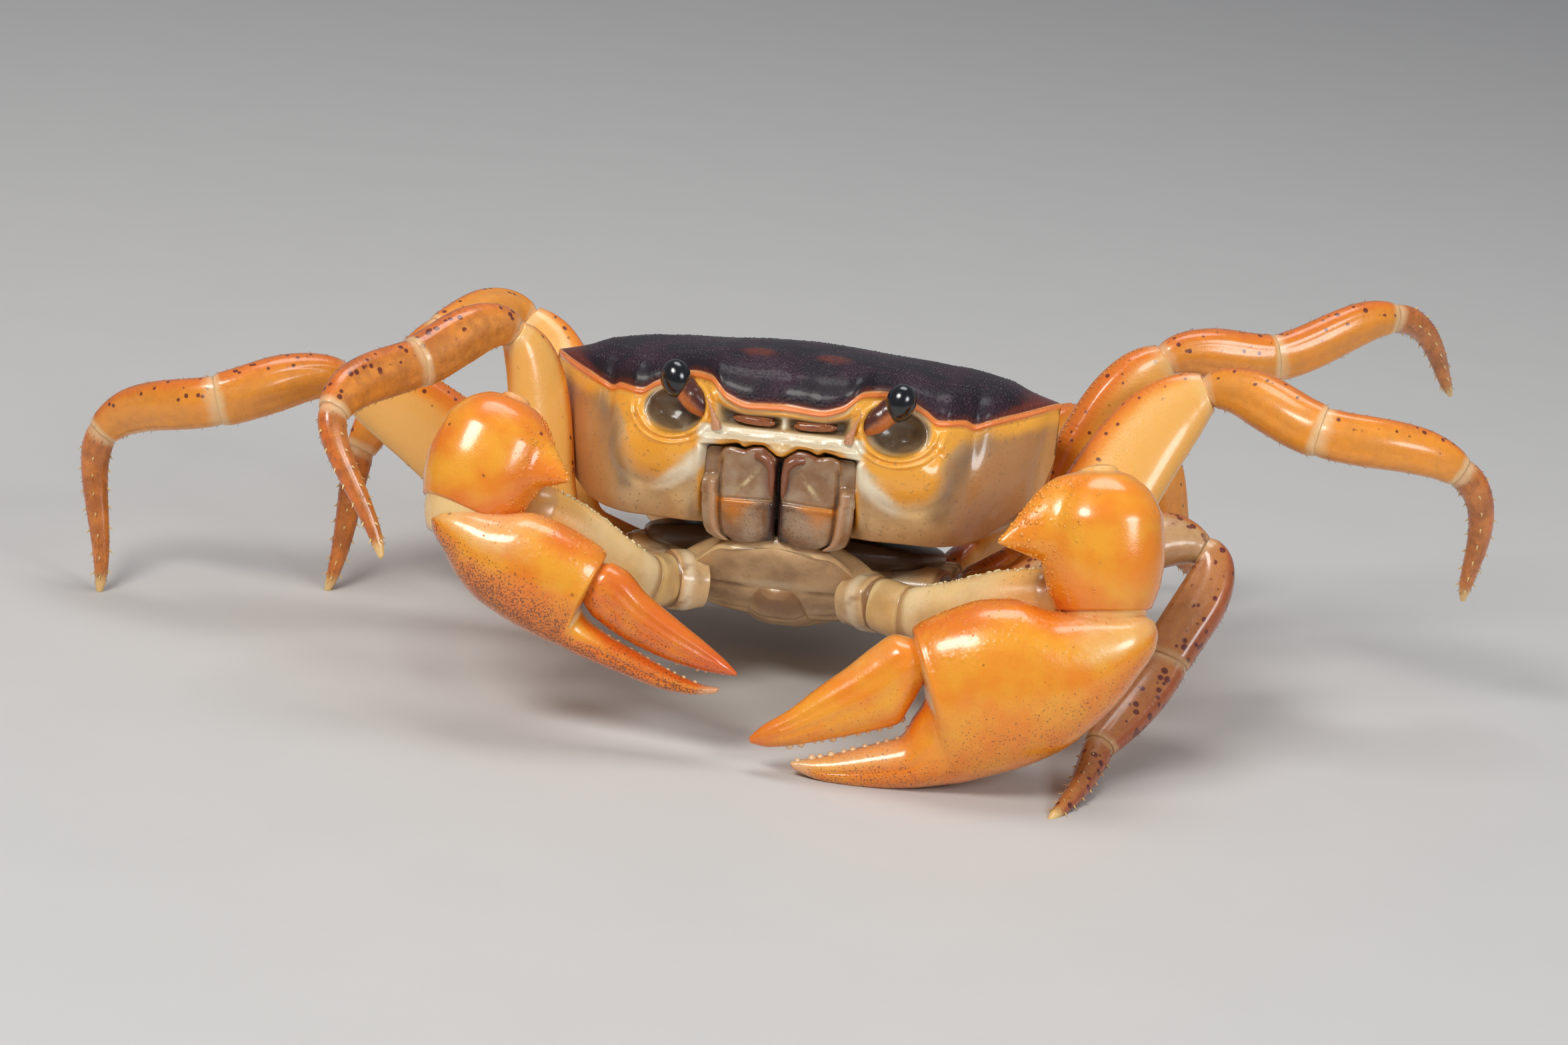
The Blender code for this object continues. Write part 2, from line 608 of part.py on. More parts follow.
def carapace(where, helpers):
    """Shell of the back, the face with its orbits, the mouth frame and the side walls, as one solid."""
    angles = np.linspace(-pi / 2, pi / 2, CARAPACE_STATIONS)[1:-1]
    edges = (MOUTH_HALF - 0.2, MOUTH_HALF, MOUTH_HALF + 0.2, MOUTH_HALF + 0.5, ORBIT_AT.x + ORBIT_RADII.x, 5.2)
    places = sorted(
        [x for x in HALF_WIDTH * np.sin(angles) if min(abs(abs(x) - edge) for edge in edges) > 0.15]
        + [side * x for side in (-1, 1) for x in (*edges, HALF_WIDTH - 0.03)]
    )
    rings = [[BODY @ Vector(point) for point in ring] for ring in carapace_grid(places)]
    shell = loft("carapace", rings, where)
    for side in (-1, 1):
        place = BODY @ Matrix.Translation(on_side(ORBIT_AT, side)) @ Matrix.Rotation(pi / 2, 4, "X")
        radii = (ORBIT_RADII.x, ORBIT_RADII.z, ORBIT_RADII.y)
        apply_boolean(shell, "DIFFERENCE", ellipsoid("orbit_cutter", place, radii, helpers, 22, 12))
    return shell


def eye(name, side, shell, where, helpers):
    """Eyeball on its short stalk, which rises outward from the inner end of the orbit."""
    ball = ellipsoid("eye_" + name, BODY @ Matrix.Translation(on_side(EYE_AT, side)), EYE_RADII, where, 18, 12)
    path = ((5.95, -13.0, -3.0, 0.55), (6.3, -13.0, -2.7, 0.8), (7.0, -13.0, -2.1, 0.95), (8.0, -13.0, -1.2, 0.9))
    rings = []
    along = (Vector(path[-1][:3]) - Vector(path[0][:3])).normalized()
    across = along.cross(Vector((0, 1, 0))).normalized()
    for x, y, z, radius in path:
        centre = Vector((x, y, z))
        ring = [
            centre + across * cos(a) * radius + Vector((0, 1, 0)) * sin(a) * radius
            for a in np.arange(10) * 2 * pi / 10
        ]
        rings.append([BODY @ on_side(point, side) for point in ring])
    stalk = loft("eyestalk_" + name, rings, where)
    cut_clear(shell, ball, helpers, "MANIFOLD")
    cut_clear(shell, stalk, helpers, "MANIFOLD")
    cut_clear(stalk, ball, helpers)
    finish(ball, EYE_LOOK)
    finish(stalk, STALK_LOOK)


def maxilliped(name, side, where):
    """Third maxilliped: a plate beside the midline, with the groove of its outer branch."""
    levels = (
        (-6.2, -13.1, 0.75), (-6.45, -13.4, 0.88), (-7.5, -13.25, 1.0), (-8.8, -12.8, 1.0), (-9.1, -12.4, 0.98),
        (-9.4, -12.6, 0.98), (-10.8, -12.15, 0.96), (-11.8, -11.7, 0.9), (-12.3, -11.3, 0.75),
    )
    outline = ((0.15, 0.35), (1.0, 0.0), (3.0, -0.1), (4.1, 0.1), (4.35, 0.6), (4.6, 0.15), (5.1, 0.4))
    rings = []
    for z, y, share in levels:
        front = [(x * share if x > 0.2 else x, y + dy) for x, dy in outline]
        back = [(front[-1][0], y + 1.1), (2.6, y + 1.3), (0.15, y + 1.25)]
        rings.append([BODY @ Vector((x * side, yy, z)) for x, yy in front + back])
    finish(loft("maxilliped_" + name, rings, where), MOUTHPART_LOOK)


def antennae(name, side, where):
    """Folded antennule in its fossa and the short antenna beside the eyestalk."""
    place = BODY @ Matrix.Translation(on_side((2.2, -13.3, -3.4), side))
    finish(ellipsoid("antennule_" + name, place, (1.35, 0.4, 0.3), where, 12, 6), STALK_LOOK)
    path = ((4.75, -14.1, -4.0, 0.45), (5.0, -14.5, -3.3, 0.42), (5.15, -14.75, -2.4, 0.32), (5.5, -14.95, -1.2, 0.26))
    rings = []
    for x, y, z, radius in path:
        ring = [Vector((x + cos(a) * radius, y + sin(a) * radius, z)) for a in np.arange(8) * pi / 4]
        rings.append([BODY @ on_side(point, side) for point in ring])
    finish(loft("antenna_" + name, rings, where), LEG_LOOK)


def abdomen_rings(grow):
    """Sections of the folded abdomen from its tip between the claws to the rear margin."""
    path = (
        (-8.3 - grow, -16.2, 1.1), (-7.6, -16.8, 1.7), (-6.0, -17.9, 2.1), (-3.0, -18.4, 2.7),
        (0.0, -18.45, 3.4), (3.0, -18.2, 4.3), (6.0, -17.4, 5.2), (9.0, -16.1, 5.6), (11.6, -14.3, 5.6),
        (12.8 + grow, -12.95, 5.2),
    )
    rings = []
    for y, z, half in path:
        depth = 1.3 + grow
        rings.append([
            Vector((-half - grow, y, z + 0.35)), Vector((-half * 0.7, y, z - grow)), Vector((0, y, z - 0.25 - grow)),
            Vector((half * 0.7, y, z - grow)), Vector((half + grow, y, z + 0.35)), Vector((half + grow, y, z + depth)),
            Vector((-half - grow, y, z + depth)),
        ])
    return rings


def underside(where, helpers):
    """Breastplate with the coxae of all ten limbs, and the abdomen folded under it."""
    roof = UNDERSIDE_Z - GAP
    path = (
        (-10.6, 3.6, -13.7, -12.9), (-9.8, 5.5, -14.3, -12.7), (-9.0, 6.6, -15.0, -12.2), (-8.4, 7.2, -15.5, roof),
        (-6.6, 8.4, -17.0, roof), (-4.6, 9.2, -17.9, roof), (0.0, 9.5, -18.2, roof), (4.0, 9.2, -17.9, roof),
        (7.6, 8.0, -16.6, roof), (10.4, 6.2, -14.6, roof), (12.0, 4.4, -12.6, roof),
    )
    rings = []
    for y, half, low, top in path:
        drop = top - low
        rings.append([
            BODY @ Vector(point)
            for point in (
                (-half, y, top), (-half, y, top - 0.45 * drop), (-half * 0.75, y, top - 0.85 * drop),
                (-half * 0.35, y, low), (half * 0.35, y, low), (half * 0.75, y, top - 0.85 * drop),
                (half, y, top - 0.45 * drop), (half, y, top),
            )
        ])
    plastron = loft("plastron", rings, where)
    pieces = collection("coxae")
    stations = ((0.0, 0.9, 0.9), (0.55, 1.0, 1.0), (0.85, 0.98, 0.98), (1.0, 0.72, 0.72))
    for limb_name, side in (("l", 1), ("r", -1)):
        poses = [ARM_POSES[limb_name]] + [LEG_POSES[f"leg{i}_{limb_name}"] for i in range(1, 5)]
        lengths = [ARM_LENGTHS[limb_name]] + list(LEG_LENGTHS)
        for index, radius in enumerate(COXA_RADII):
            root, end = coxa_ends(index, side)
            tangent = limb_path(index, side, lengths[index], poses[index])[1][0]
            out = (end - root).normalized()
            coxa = segment_rings(root, end, out, tangent, Vector((0, -1, 0)), stations, radius)
            loft("coxa", coxa, pieces)
    fuse(plastron, pieces)
    abdomen = loft("abdomen", [[BODY @ point for point in ring] for ring in abdomen_rings(0.0)], where)
    groove = loft("groove", [[BODY @ point for point in ring] for ring in abdomen_rings(GAP)], helpers)
    apply_boolean(plastron, "DIFFERENCE", groove)
    finish(abdomen, UNDERSIDE_LOOK)
    return plastron


def edge_teeth(name, frame, places, pieces, upward):
    """Row of blunt teeth on the biting edge of one finger, lower where the gape is narrow."""
    lower = np.array([station for station in PALM_STATIONS[name]])
    upper = np.array([station for station in FINGER_STATIONS[name]])
    for a in places:
        floor = float(np.interp(a, lower[:, 0], lower[:, 2]))
        roof = float(np.interp(a, upper[:, 0], upper[:, 1]))
        height = min(TOOTH_HEIGHT, TOOTH_SHARE_OF_GAPE * (roof - floor))
        start, end = (floor - TOOTH_ROOT, floor + height) if upward else (roof + TOOTH_ROOT, roof - height)
        spike(frame @ Vector((a, 0.0, start)), frame @ Vector((a, 0.0, end)), TOOTH_RADIUS, pieces, blunt=0.45)


def palm_frame(name):
    """Matrix of one claw: x along it to the fingertips, z across it to its upper edge."""
    along = direction(*PALM_AXIS[name])
    up = (Vector((0, 0, 1)) - along * along.z).normalized()
    up = Matrix.Rotation(radians(PALM_LEAN[name]), 3, along) @ up
    through = up.cross(along)
    frame = Matrix((along, through, up)).transposed().to_4x4()
    return Matrix.Translation(PALM_AT[name]) @ frame


def claw_rings(stations, frame, sides=12, power=2.2):
    ring = superellipse(sides, power)
    rings = []
    for a, low, high, thickness in stations:
        middle, half = (low + high) / 2, (high - low) / 2
        rings.append([frame @ Vector((a, u * thickness, middle + v * half)) for u, v in ring])
    return rings


def wrist_ring(name, t, share, angles):
    """Points round the wrist at a share of its length, as a rounded section square to its axis."""
    broad, deep = WRIST_HALF[name]
    top, end = WRIST_TOP[name], WRIST_END[name]
    axis = (end - top).normalized()
    across = axis.cross(Vector((0, 1, 0))).normalized()
    through = axis.cross(across)
    c, s = np.cos(angles), np.sin(angles)
    section = np.stack((np.sign(c) * abs(c) ** (2 / 2.3), np.sign(s) * abs(s) ** (2 / 2.3)), axis=1) * share
    return [top + (end - top) * t + across * u * broad + through * v * deep for u, v in section]


def cheliped(name, side, plastron, where, helpers):
    """Arm, wrist, palm with its fixed finger, and the moving finger of one claw."""
    points, tangents = limb_path(0, side, ARM_LENGTHS[name], ARM_POSES[name])
    flat = Vector((0, -1, 0.3)).normalized()
    ischium = ((0.0, 1.5, 1.2), (0.15, 1.9, 1.6), (0.5, 2.1, 1.75), (0.85, 2.0, 1.7), (1.0, 1.7, 1.4))
    merus = ((0.0, 1.6, 1.3), (0.08, 2.1, 1.7), (0.35, 2.35, 2.0), (0.7, 2.6, 2.2), (1.0, 2.4, 2.1))
    arm = segment_rings(points[0], points[1], tangents[0], tangents[1], flat, ischium, 1.0)
    arm_object = loft("claw_" + name + "_ischium", arm, where)
    merus_rings = segment_rings(points[1], points[2], tangents[1], tangents[2], flat, merus, 1.0)
    merus_object = loft("claw_" + name + "_merus", merus_rings, where)

    angles = np.arange(16) * 2 * pi / 16 + pi / 16
    carpus = loft("claw_" + name + "_carpus", [wrist_ring(name, t, share, angles) for t, share in WRIST_PROFILE], where)
    bumps = collection("wrist_bumps")
    spike(*WRIST_TOOTH[name], WRIST_TOOTH_RADIUS[name], bumps, sides=10, blunt=0.08)
    inner = pi if name == "l" else 0.0
    shares = np.array(WRIST_PROFILE)
    for t, turn in WRIST_GRANULES:
        share = float(np.interp(t, shares[:, 0], shares[:, 1]))
        near, far = (wrist_ring(name, t, share * scale, np.array([inner + turn]))[0] for scale in (0.9, 1.06))
        spike(near, far, GRANULE_RADIUS, bumps, blunt=0.4)
    fuse(carpus, bumps)

    frame = palm_frame(name)
    palm = loft("claw_" + name + "_palm", claw_rings(PALM_STATIONS[name], frame), where)
    finger = loft("claw_" + name + "_finger", claw_rings(FINGER_STATIONS[name], frame), where)
    first, last = TOOTH_ROW[name]
    for obj, upward in ((palm, True), (finger, False)):
        teeth = collection("teeth")
        edge_teeth(name, frame, np.linspace(first, last, TEETH_PER_EDGE) + (0.0 if upward else 0.5), teeth, upward)
        fuse(obj, teeth)
    cut_clear(merus_object, carpus, helpers)
    cut_clear(merus_object, palm, helpers)
    cut_clear(palm, carpus, helpers)
    cut_clear(plastron, arm_object, helpers)
    stand(palm)
    finish(arm_object, UNDERSIDE_LOOK)
    finish(merus_object, UNDERSIDE_LOOK)
    for obj in (carpus, palm, finger):
        finish(obj, CLAW_LOOK)


def centre_on_floor(where):
    """Puts each object's origin in its own middle, and the middle of the whole crab over the world origin."""
    points = np.array([vert.co for obj in where.objects for vert in obj.data.vertices])
    middle = (points.min(axis=0) + points.max(axis=0)) / 2
    crab = bpy.data.objects.new("crab", None)
    crab.location = (-middle[0], -middle[1], 0.0)
    for obj in list(where.objects):
        corners = np.array([vert.co for vert in obj.data.vertices])
        own_middle = Vector((corners.min(axis=0) + corners.max(axis=0)) / 2)
        obj.data.transform(Matrix.Translation(-own_middle))
        obj.location = own_middle
        obj.parent = crab
    where.objects.link(crab)


def build():
    clear_scene()
    crab = collection("sundathelphusa_crab")
    helpers = collection("cutters")
    shell = carapace(crab, helpers)
    plastron = underside(crab, helpers)
    for name, side in (("l", 1), ("r", -1)):
        eye(name, side, shell, crab, helpers)
        maxilliped(name, side, crab)
        antennae(name, side, crab)
        cheliped(name, side, plastron, crab, helpers)
        for index in range(4):
            walking_leg(f"leg{index + 1}_{name}", index, side, crab)
    finish(shell, SHELL_LOOK)
    finish(plastron, UNDERSIDE_LOOK)
    bpy.data.collections.remove(helpers)
    centre_on_floor(crab)


build()
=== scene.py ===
"""Looks of a Sundathelphusa freshwater crab: every surface in fine mesh, its finishes, and the studio.

The body frame has x to the crab's left, y backward and z up, with its origin between the widest
corners of the carapace. The world frame has the floor at z = 0. Lengths are in millimetres until
they are written to a mesh. Every point of a surface carries a few numbers, here called marks, that
say where on the animal it lies, and the finishes read them as attributes.
"""

import logging
from dataclasses import dataclass, field
from enum import Enum
from typing import Any

import bpy
import numpy as np
from mathutils import Matrix, Vector


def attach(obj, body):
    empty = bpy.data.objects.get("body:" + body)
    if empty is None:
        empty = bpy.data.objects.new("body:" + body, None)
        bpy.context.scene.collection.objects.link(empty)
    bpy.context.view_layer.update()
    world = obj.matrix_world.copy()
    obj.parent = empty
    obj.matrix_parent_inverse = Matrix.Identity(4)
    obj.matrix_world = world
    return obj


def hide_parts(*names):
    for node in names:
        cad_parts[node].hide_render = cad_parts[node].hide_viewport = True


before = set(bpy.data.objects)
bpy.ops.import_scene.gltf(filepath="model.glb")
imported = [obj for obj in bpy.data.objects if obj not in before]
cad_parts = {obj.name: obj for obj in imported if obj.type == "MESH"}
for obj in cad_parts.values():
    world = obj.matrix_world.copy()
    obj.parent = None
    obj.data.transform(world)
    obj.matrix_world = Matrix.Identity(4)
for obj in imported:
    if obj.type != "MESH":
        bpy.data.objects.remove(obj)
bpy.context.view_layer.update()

LOG = logging.getLogger("crab")
MM = 0.001
SEAM = 0.03
FLOOR_CUT = 0.12
# The solids are centred over the origin by this move of their world points
SHIFT = np.array([0.1602, -18.2902, 0])
BODY_AT = np.array([1.08, 14.69, 21.63])
BODY_ANGLES = (-8, -14, -1.8)

Array = np.ndarray
Material = bpy.types.Material
Pair = tuple[float, float]
Triple = tuple[float, float, float]
Color = Triple
Marks = dict[str, Any]
Table = tuple[tuple[float, ...], ...]


class Slot(Enum):
    """Material slots of the record."""

    SHELL = "shell"
    CLAW = "claw"
    LEG = "leg"
    LEG_END = "leg_end"
    UNDERSIDE = "underside"
    MOUTHPART = "mouthpart"
    STALK = "stalk"
    EYE = "eye"


class Tone(Enum):
    """How brown a walking leg is."""

    BRIGHT = "bright"
    TAWNY = "tawny"
    DUSKY = "dusky"


class Side(Enum):
    """The two sides of the crab: its left is at positive x."""

    LEFT = 1
    RIGHT = -1

    @property
    def letter(self) -> str:
        """The last letter of the node names on this side."""
        return "l" if self is Side.LEFT else "r"


def rotation(axis: int, angle: float) -> Array:
    """Right-handed turn about one axis: cosine on the diagonal, sines across it.

    Args:
        axis: 0, 1 or 2 for x, y or z.
        angle: Turn in degrees.

    Returns:
        The 3 by 3 matrix.
    """
    c, s = np.cos(np.radians(angle)), np.sin(np.radians(angle))
    i, j = (axis + 1) % 3, (axis + 2) % 3
    made = np.eye(3)
    made[i, i] = made[j, j] = c
    made[i, j], made[j, i] = -s, s
    return made


BODY_TURN = rotation(2, BODY_ANGLES[0]) @ rotation(0, BODY_ANGLES[1]) @ rotation(1, BODY_ANGLES[2])


def from_body(points: Array) -> Array:
    """Body points as world points: turned, then moved over the floor."""
    return np.asarray(points, dtype=float) @ BODY_TURN.T + BODY_AT


def placed(points: Any, side: Side) -> Array:
    """World points of body points on the crab's left, or of their mirror on its right."""
    return from_body(np.asarray(points, dtype=float) * np.array([side.value, 1, 1]))


def direction(azimuth: float, elevation: float) -> Array:
    """Unit vector from an azimuth and an elevation in degrees."""
    a, e = np.radians(azimuth), np.radians(elevation)
    return np.array([np.cos(e) * np.cos(a), np.cos(e) * np.sin(a), np.sin(e)])


def join(parts: Any, axis: int = 0) -> Array:
    """Arrays put end to end along one axis."""
    return np.concatenate(parts, axis=axis)


def unit(vectors: Array) -> Array:
    """Vectors divided by their lengths, which are kept above nought."""
    return vectors / np.maximum(np.linalg.norm(vectors, axis=-1, keepdims=True), 1e-9)


def smooth(x: Any, places: Any, values: Any) -> Array:
    """Monotone cubic curve through given values, level where x is nought.

    Each slope is the harmonic mean of the rises on its two sides, or nought at a turning point.

    Args:
        x: Where the curve is read, held within the places.
        places: Rising positions.
        values: Value at each place.

    Returns:
        The curve at x.
    """
    places, values = np.array(places, dtype=float), np.array(values, dtype=float)
    x = np.clip(np.asarray(x, dtype=float), places[0], places[-1])
    steps = np.diff(places)
    rises = np.diff(values) / steps
    slopes = np.zeros_like(values)
    same_way = rises[:-1] * rises[1:] > 0
    both = np.where(same_way, rises[:-1] + rises[1:], 1)
    slopes[1:-1] = np.where(same_way, 2 * rises[:-1] * rises[1:] / both, 0)
    slopes[-1] = rises[-1]
    slopes[0] = 0 if places[0] == 0 else rises[0]
    i = np.clip(np.searchsorted(places, x, side="right") - 1, 0, len(steps) - 1)
    t = (x - places[i]) / steps[i]
    return (
        values[i] * (2 * t**3 - 3 * t**2 + 1)
        + slopes[i] * steps[i] * (t**3 - 2 * t**2 + t)
        + values[i + 1] * (3 * t**2 - 2 * t**3)
        + slopes[i + 1] * steps[i] * (t**3 - t**2)
    )


def ramp(x: Any, low: float, high: float) -> Array:
    """Nought below low, one above high, and an even S between them."""
    t = np.clip((np.asarray(x, dtype=float) - low) / (high - low), 0, 1)
    return t * t * (3 - 2 * t)


def fall(x: Any, low: float, high: float) -> Array:
    """One below low and nought above high: one less the ramp."""
    return 1 - ramp(x, low, high)


def band(x: Any, low: float, rise: float, drop: float, high: float) -> Array:
    """Ramp from low to rise times the fall from drop to high."""
    return ramp(x, low, rise) * fall(x, drop, high)


def held(x: Any) -> Array:
    """Values kept between nought and one."""
    return np.clip(x, 0, 1)


def curves(table: Table, x: Any) -> list[Array]:
    """Each further column of a table as a smooth curve of its first column, read at x."""
    rows = np.array(table)
    return [smooth(x, rows[:, 0], rows[:, k]) for k in range(1, rows.shape[1])]


@dataclass(frozen=True)
class Curve:
    """Smooth curve through values at rising places, which is called with where it is read."""

    places: tuple[float, ...]
    values: tuple[float, ...]

    def __call__(self, x: Any) -> Array:
        """The curve at x."""
        return smooth(x, self.places, self.values)


def bell(x: Any, middle: float, width: float) -> Array:
    """Smooth bump of height one: the exponential of minus the squared distance over the width."""
    return np.exp(-(((np.asarray(x, dtype=float) - middle) / width) ** 2))


def far_from_line(x: Array, z: Array, line: Table) -> Array:
    """Distance from each point to a bent line: the least distance to any of its straight lengths.

    Args:
        x: First coordinate of the points.
        z: Second coordinate of the points.
        line: Corners of the line.

    Returns:
        Distances in the shape of x.
    """
    best = np.full(np.shape(x), np.inf)
    for (x0, z0), (x1, z1) in zip(line, line[1:]):
        run, rise = x1 - x0, z1 - z0
        t = np.clip(((x - x0) * run + (z - z0) * rise) / (run**2 + rise**2), 0, 1)
        best = np.minimum(best, np.hypot(x - x0 - t * run, z - z0 - t * rise))
    return best


def section(angles: Array, power: float = 2.3) -> tuple[Array, Array]:
    """Unit ring from round at power 2 to boxy above it: cosine and sine raised to two over the power."""
    c, s = np.cos(angles), np.sin(angles)
    return np.sign(c) * abs(c) ** (2 / power), np.sign(s) * abs(s) ** (2 / power)


def around(count: int) -> Array:
    """Even angles of one full turn."""
    return np.arange(count) * 2 * np.pi / count


def even_rows(count: int, ends: float = 0.35) -> Array:
    """Steps from nought to one that are closer near both ends: an even step bent by part of a cosine."""
    t = np.linspace(0, 1, count)
    return t * (1 - ends) + ends * (1 - np.cos(np.pi * t)) / 2


def ring_points(middle: Array, across: Array, through: Array, wide: Any, deep: Any) -> Array:
    """Rings of points: each ring's middle, plus its two axes times the two distances of each point.

    Args:
        middle: Middle of each ring.
        across: First axis, one for all rings or one for each.
        through: Second axis, given likewise.
        wide: Distance of each point along the first axis.
        deep: Distance of each point along the second axis.

    Returns:
        Points by ring and angle.
    """
    return middle[:, None] + across[..., None, :] * wide[..., None] + through[..., None, :] * deep[..., None]


def hermite(
    start: Array, end: Array, out: Array, into: Array, t: Array
) -> tuple[Array, Array]:
    """Cubic that leaves start along out and reaches end along into, with both slopes as long as the span.

    Args:
        start: First point.
        end: Last point.
        out: Direction at the first point.
        into: Direction at the last point.
        t: Shares of the way.

    Returns:
        Points on the curve, and unit directions along it.
    """
    t = np.asarray(t, dtype=float)[:, None]
    span = np.linalg.norm(end - start)
    m0, m1 = out * span, into * span
    points = (
        start * (2 * t**3 - 3 * t**2 + 1)
        + m0 * (t**3 - 2 * t**2 + t)
        + end * (3 * t**2 - 2 * t**3)
        + m1 * (t**3 - t**2)
    )
    slopes = (
        start * (6 * t**2 - 6 * t)
        + m0 * (3 * t**2 - 4 * t + 1)
        + end * (6 * t - 6 * t**2)
        + m1 * (3 * t**2 - 2 * t)
    )
    return points, unit(slopes)


@dataclass
class Shape:
    """Small closed shape that is set down many times: its points, four-sided faces and triangles."""

    points: Array
    quads: Array
    triangles: Array


def turned(profile: Table, sides: int) -> Shape:
    """Small shape turned about z: rings at each (radius, height), closed by its last point and its base.

    Args:
        profile: Radius and height of each ring from the root up. The last entry is the point.
        sides: Number of sides.

    Returns:
        The closed shape.
    """
    angles = around(sides)
    rings = np.array([[(r * np.cos(a), r * np.sin(a), h) for a in angles] for r, h in profile[:-1]])
    count = len(rings)
    points = join([rings.reshape(-1, 3), [[0, 0, profile[-1][1]]], [[0, 0, profile[0][1]]]])
    i = np.arange(sides)
    j = (i + 1) % sides
    quads = np.array([np.stack((k * sides + i, k * sides + j, (k + 1) * sides + j, (k + 1) * sides + i), 1)
                      for k in range(count - 1)]).reshape(-1, 4)
    top, base = count * sides, count * sides + 1
    last = (count - 1) * sides
    triangles = join([
        np.stack((last + i, last + j, np.full(sides, top)), 1), np.stack((j, i, np.full(sides, base)), 1)
    ])
    return Shape(points, quads, triangles)


GRANULE = turned(((1, -0.5), (0.95, 0.1), (0.6, 0.55), (0, 0.72)), 6)
THORN = turned(((1, -0.25), (0.72, 0.1), (0.45, 0.45), (0.2, 0.82), (0, 1)), 7)
TOOTH = turned(((1, -0.6), (0.92, 0.2), (0.62, 0.75), (0.3, 0.95), (0, 1)), 8)


def bristle(bend: float = 0.25) -> Shape:
    """Fine hair of three sides that narrows to its point and leans over by the square of its height."""
    made = turned(((1, -0.08), (0.9, 0.3), (0.6, 0.65), (0, 1)), 3)
    made.points[:, 0] += bend * 12 * np.maximum(made.points[:, 2], 0) ** 2
    return made


BRISTLE = bristle()


@dataclass
class Sheets:
    """Closed surfaces gathered for one mesh, with the marks of every point."""

    points: list[Array] = field(default_factory=list)
    quads: list[Array] = field(default_factory=list)
    triangles: list[Array] = field(default_factory=list)
    marks: list[Marks] = field(default_factory=list)
    count: int = 0

    def add(self, points: Array, quads: Array, triangles: Array, marks: Marks) -> None:
        """Takes one closed surface and turns it outward if its signed volume is below nought.

        Args:
            points: World points.
            quads: Four-sided faces.
            triangles: Three-sided faces.
            marks: Name to one number for all points, or to an array with one for each.
        """
        halves = join([quads[:, [0, 1, 2]], quads[:, [0, 2, 3]], triangles])
        a, b, c = (points[halves[:, k]] - points.mean(axis=0) for k in range(3))
        if np.einsum("ij,ij->", a, np.cross(b, c)) < 0:
            quads, triangles = quads[:, ::-1], triangles[:, ::-1]
        self.points.append(points)
        self.quads.append(quads + self.count)
        self.triangles.append(triangles + self.count)
        self.marks.append({name: np.broadcast_to(value, (len(points),)) for name, value in marks.items()})
        self.count += len(points)

    def tube(self, points: Array, marks: Marks, tips: Pair = (0, 0)) -> None:
        """Adds rings of points joined in order, each end closed by a fan to its middle.

        Args:
            points: Rows of rings, as an array of rows, columns and coordinates.
            marks: Numbers in the shape of rows and columns, or that broadcast to it.
            tips: How far the middle of the first and last ring stands out along the tube.
        """
        rows, columns = points.shape[:2]
        i = np.arange(rows - 1)[:, None] * columns
        j = np.arange(columns)[None, :]
        k = (j + 1) % columns
        quads = np.stack((i + j, i + k, i + columns + k, i + columns + j), axis=-1).reshape(-1, 4)
        j, k = j[0], k[0]
        first, last = rows * columns, rows * columns + 1
        low = (rows - 1) * columns
        fan = np.full(columns, first), np.full(columns, last)
        triangles = join([np.stack((k, j, fan[0]), 1), np.stack((low + j, low + k, fan[1]), 1)])
        middles = points.mean(axis=1)
        ends = [
            middles[0] + unit(middles[0] - middles[1]) * tips[0],
            middles[-1] + unit(middles[-1] - middles[-2]) * tips[1],
        ]
        made = {}
        for name, value in marks.items():
            grid = np.broadcast_to(value, (rows, columns))
            made[name] = join([grid.ravel(), [grid[0].mean(), grid[-1].mean()]])
        self.add(join([points.reshape(-1, 3), ends]), quads, triangles, made)

    def copies(self, shape: Shape, seats: Array, frames: Array, sizes: Array, marks: Marks) -> None:
        """Sets a small shape down many times, each copy scaled, turned by its frame and moved to its seat.

        Args:
            shape: The small shape, standing on its z axis.
            seats: Where each root stands.
            frames: Three unit vectors for each copy, as rows of x, y and z.
            sizes: Three half sizes for each copy.
            marks: Name to one number for all copies, or to an array with one for each.
        """
        total, each = len(seats), len(shape.points)
        if not total:
            return
        points = np.einsum("pk,nk,nkc->npc", shape.points, sizes, frames) + seats[:, None, :]
        step = (np.arange(total) * each)[:, None, None]
        quads = (shape.quads[None] + step).reshape(-1, 4)
        triangles = (shape.triangles[None] + step).reshape(-1, 3)
        spread = {
            name: np.repeat(value, each) if np.ndim(value) else value for name, value in marks.items()
        }
        self.add(points.reshape(-1, 3), quads, triangles, spread)

    def piece(self, name: str, material: Material, slot: Slot, *nodes: str) -> None:
        """Writes everything gathered to one object at the origin, which stands for its nodes.

        Args:
            name: Name of the piece.
            material: Its finish.
            slot: The record's slot of that finish; not used.
            nodes: The nodes that it replaces.
        """
        points = join(self.points) + SHIFT
        points[:, 2] = np.maximum(points[:, 2], 0)
        faces = join(self.quads).tolist() + join(self.triangles).tolist()
        mesh = bpy.data.meshes.new(name)
        mesh.from_pydata((points * MM).tolist(), [], faces)
        mesh.update()
        for mark in sorted({key for marks in self.marks for key in marks}):
            values = join([
                marks.get(mark, np.zeros(len(part))) for marks, part in zip(self.marks, self.points)
            ])
            mesh.attributes.new(mark, "FLOAT", "POINT").data.foreach_set("value", values.astype(np.float32))
        mesh.shade_smooth()
        mesh.materials.append(material)
        obj = bpy.data.objects.new(name, mesh)
        bpy.context.scene.collection.objects.link(obj)
        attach(obj, "root")
        if nodes:
            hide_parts(*nodes)
        LOG.info("%s: %d faces", name, len(faces))


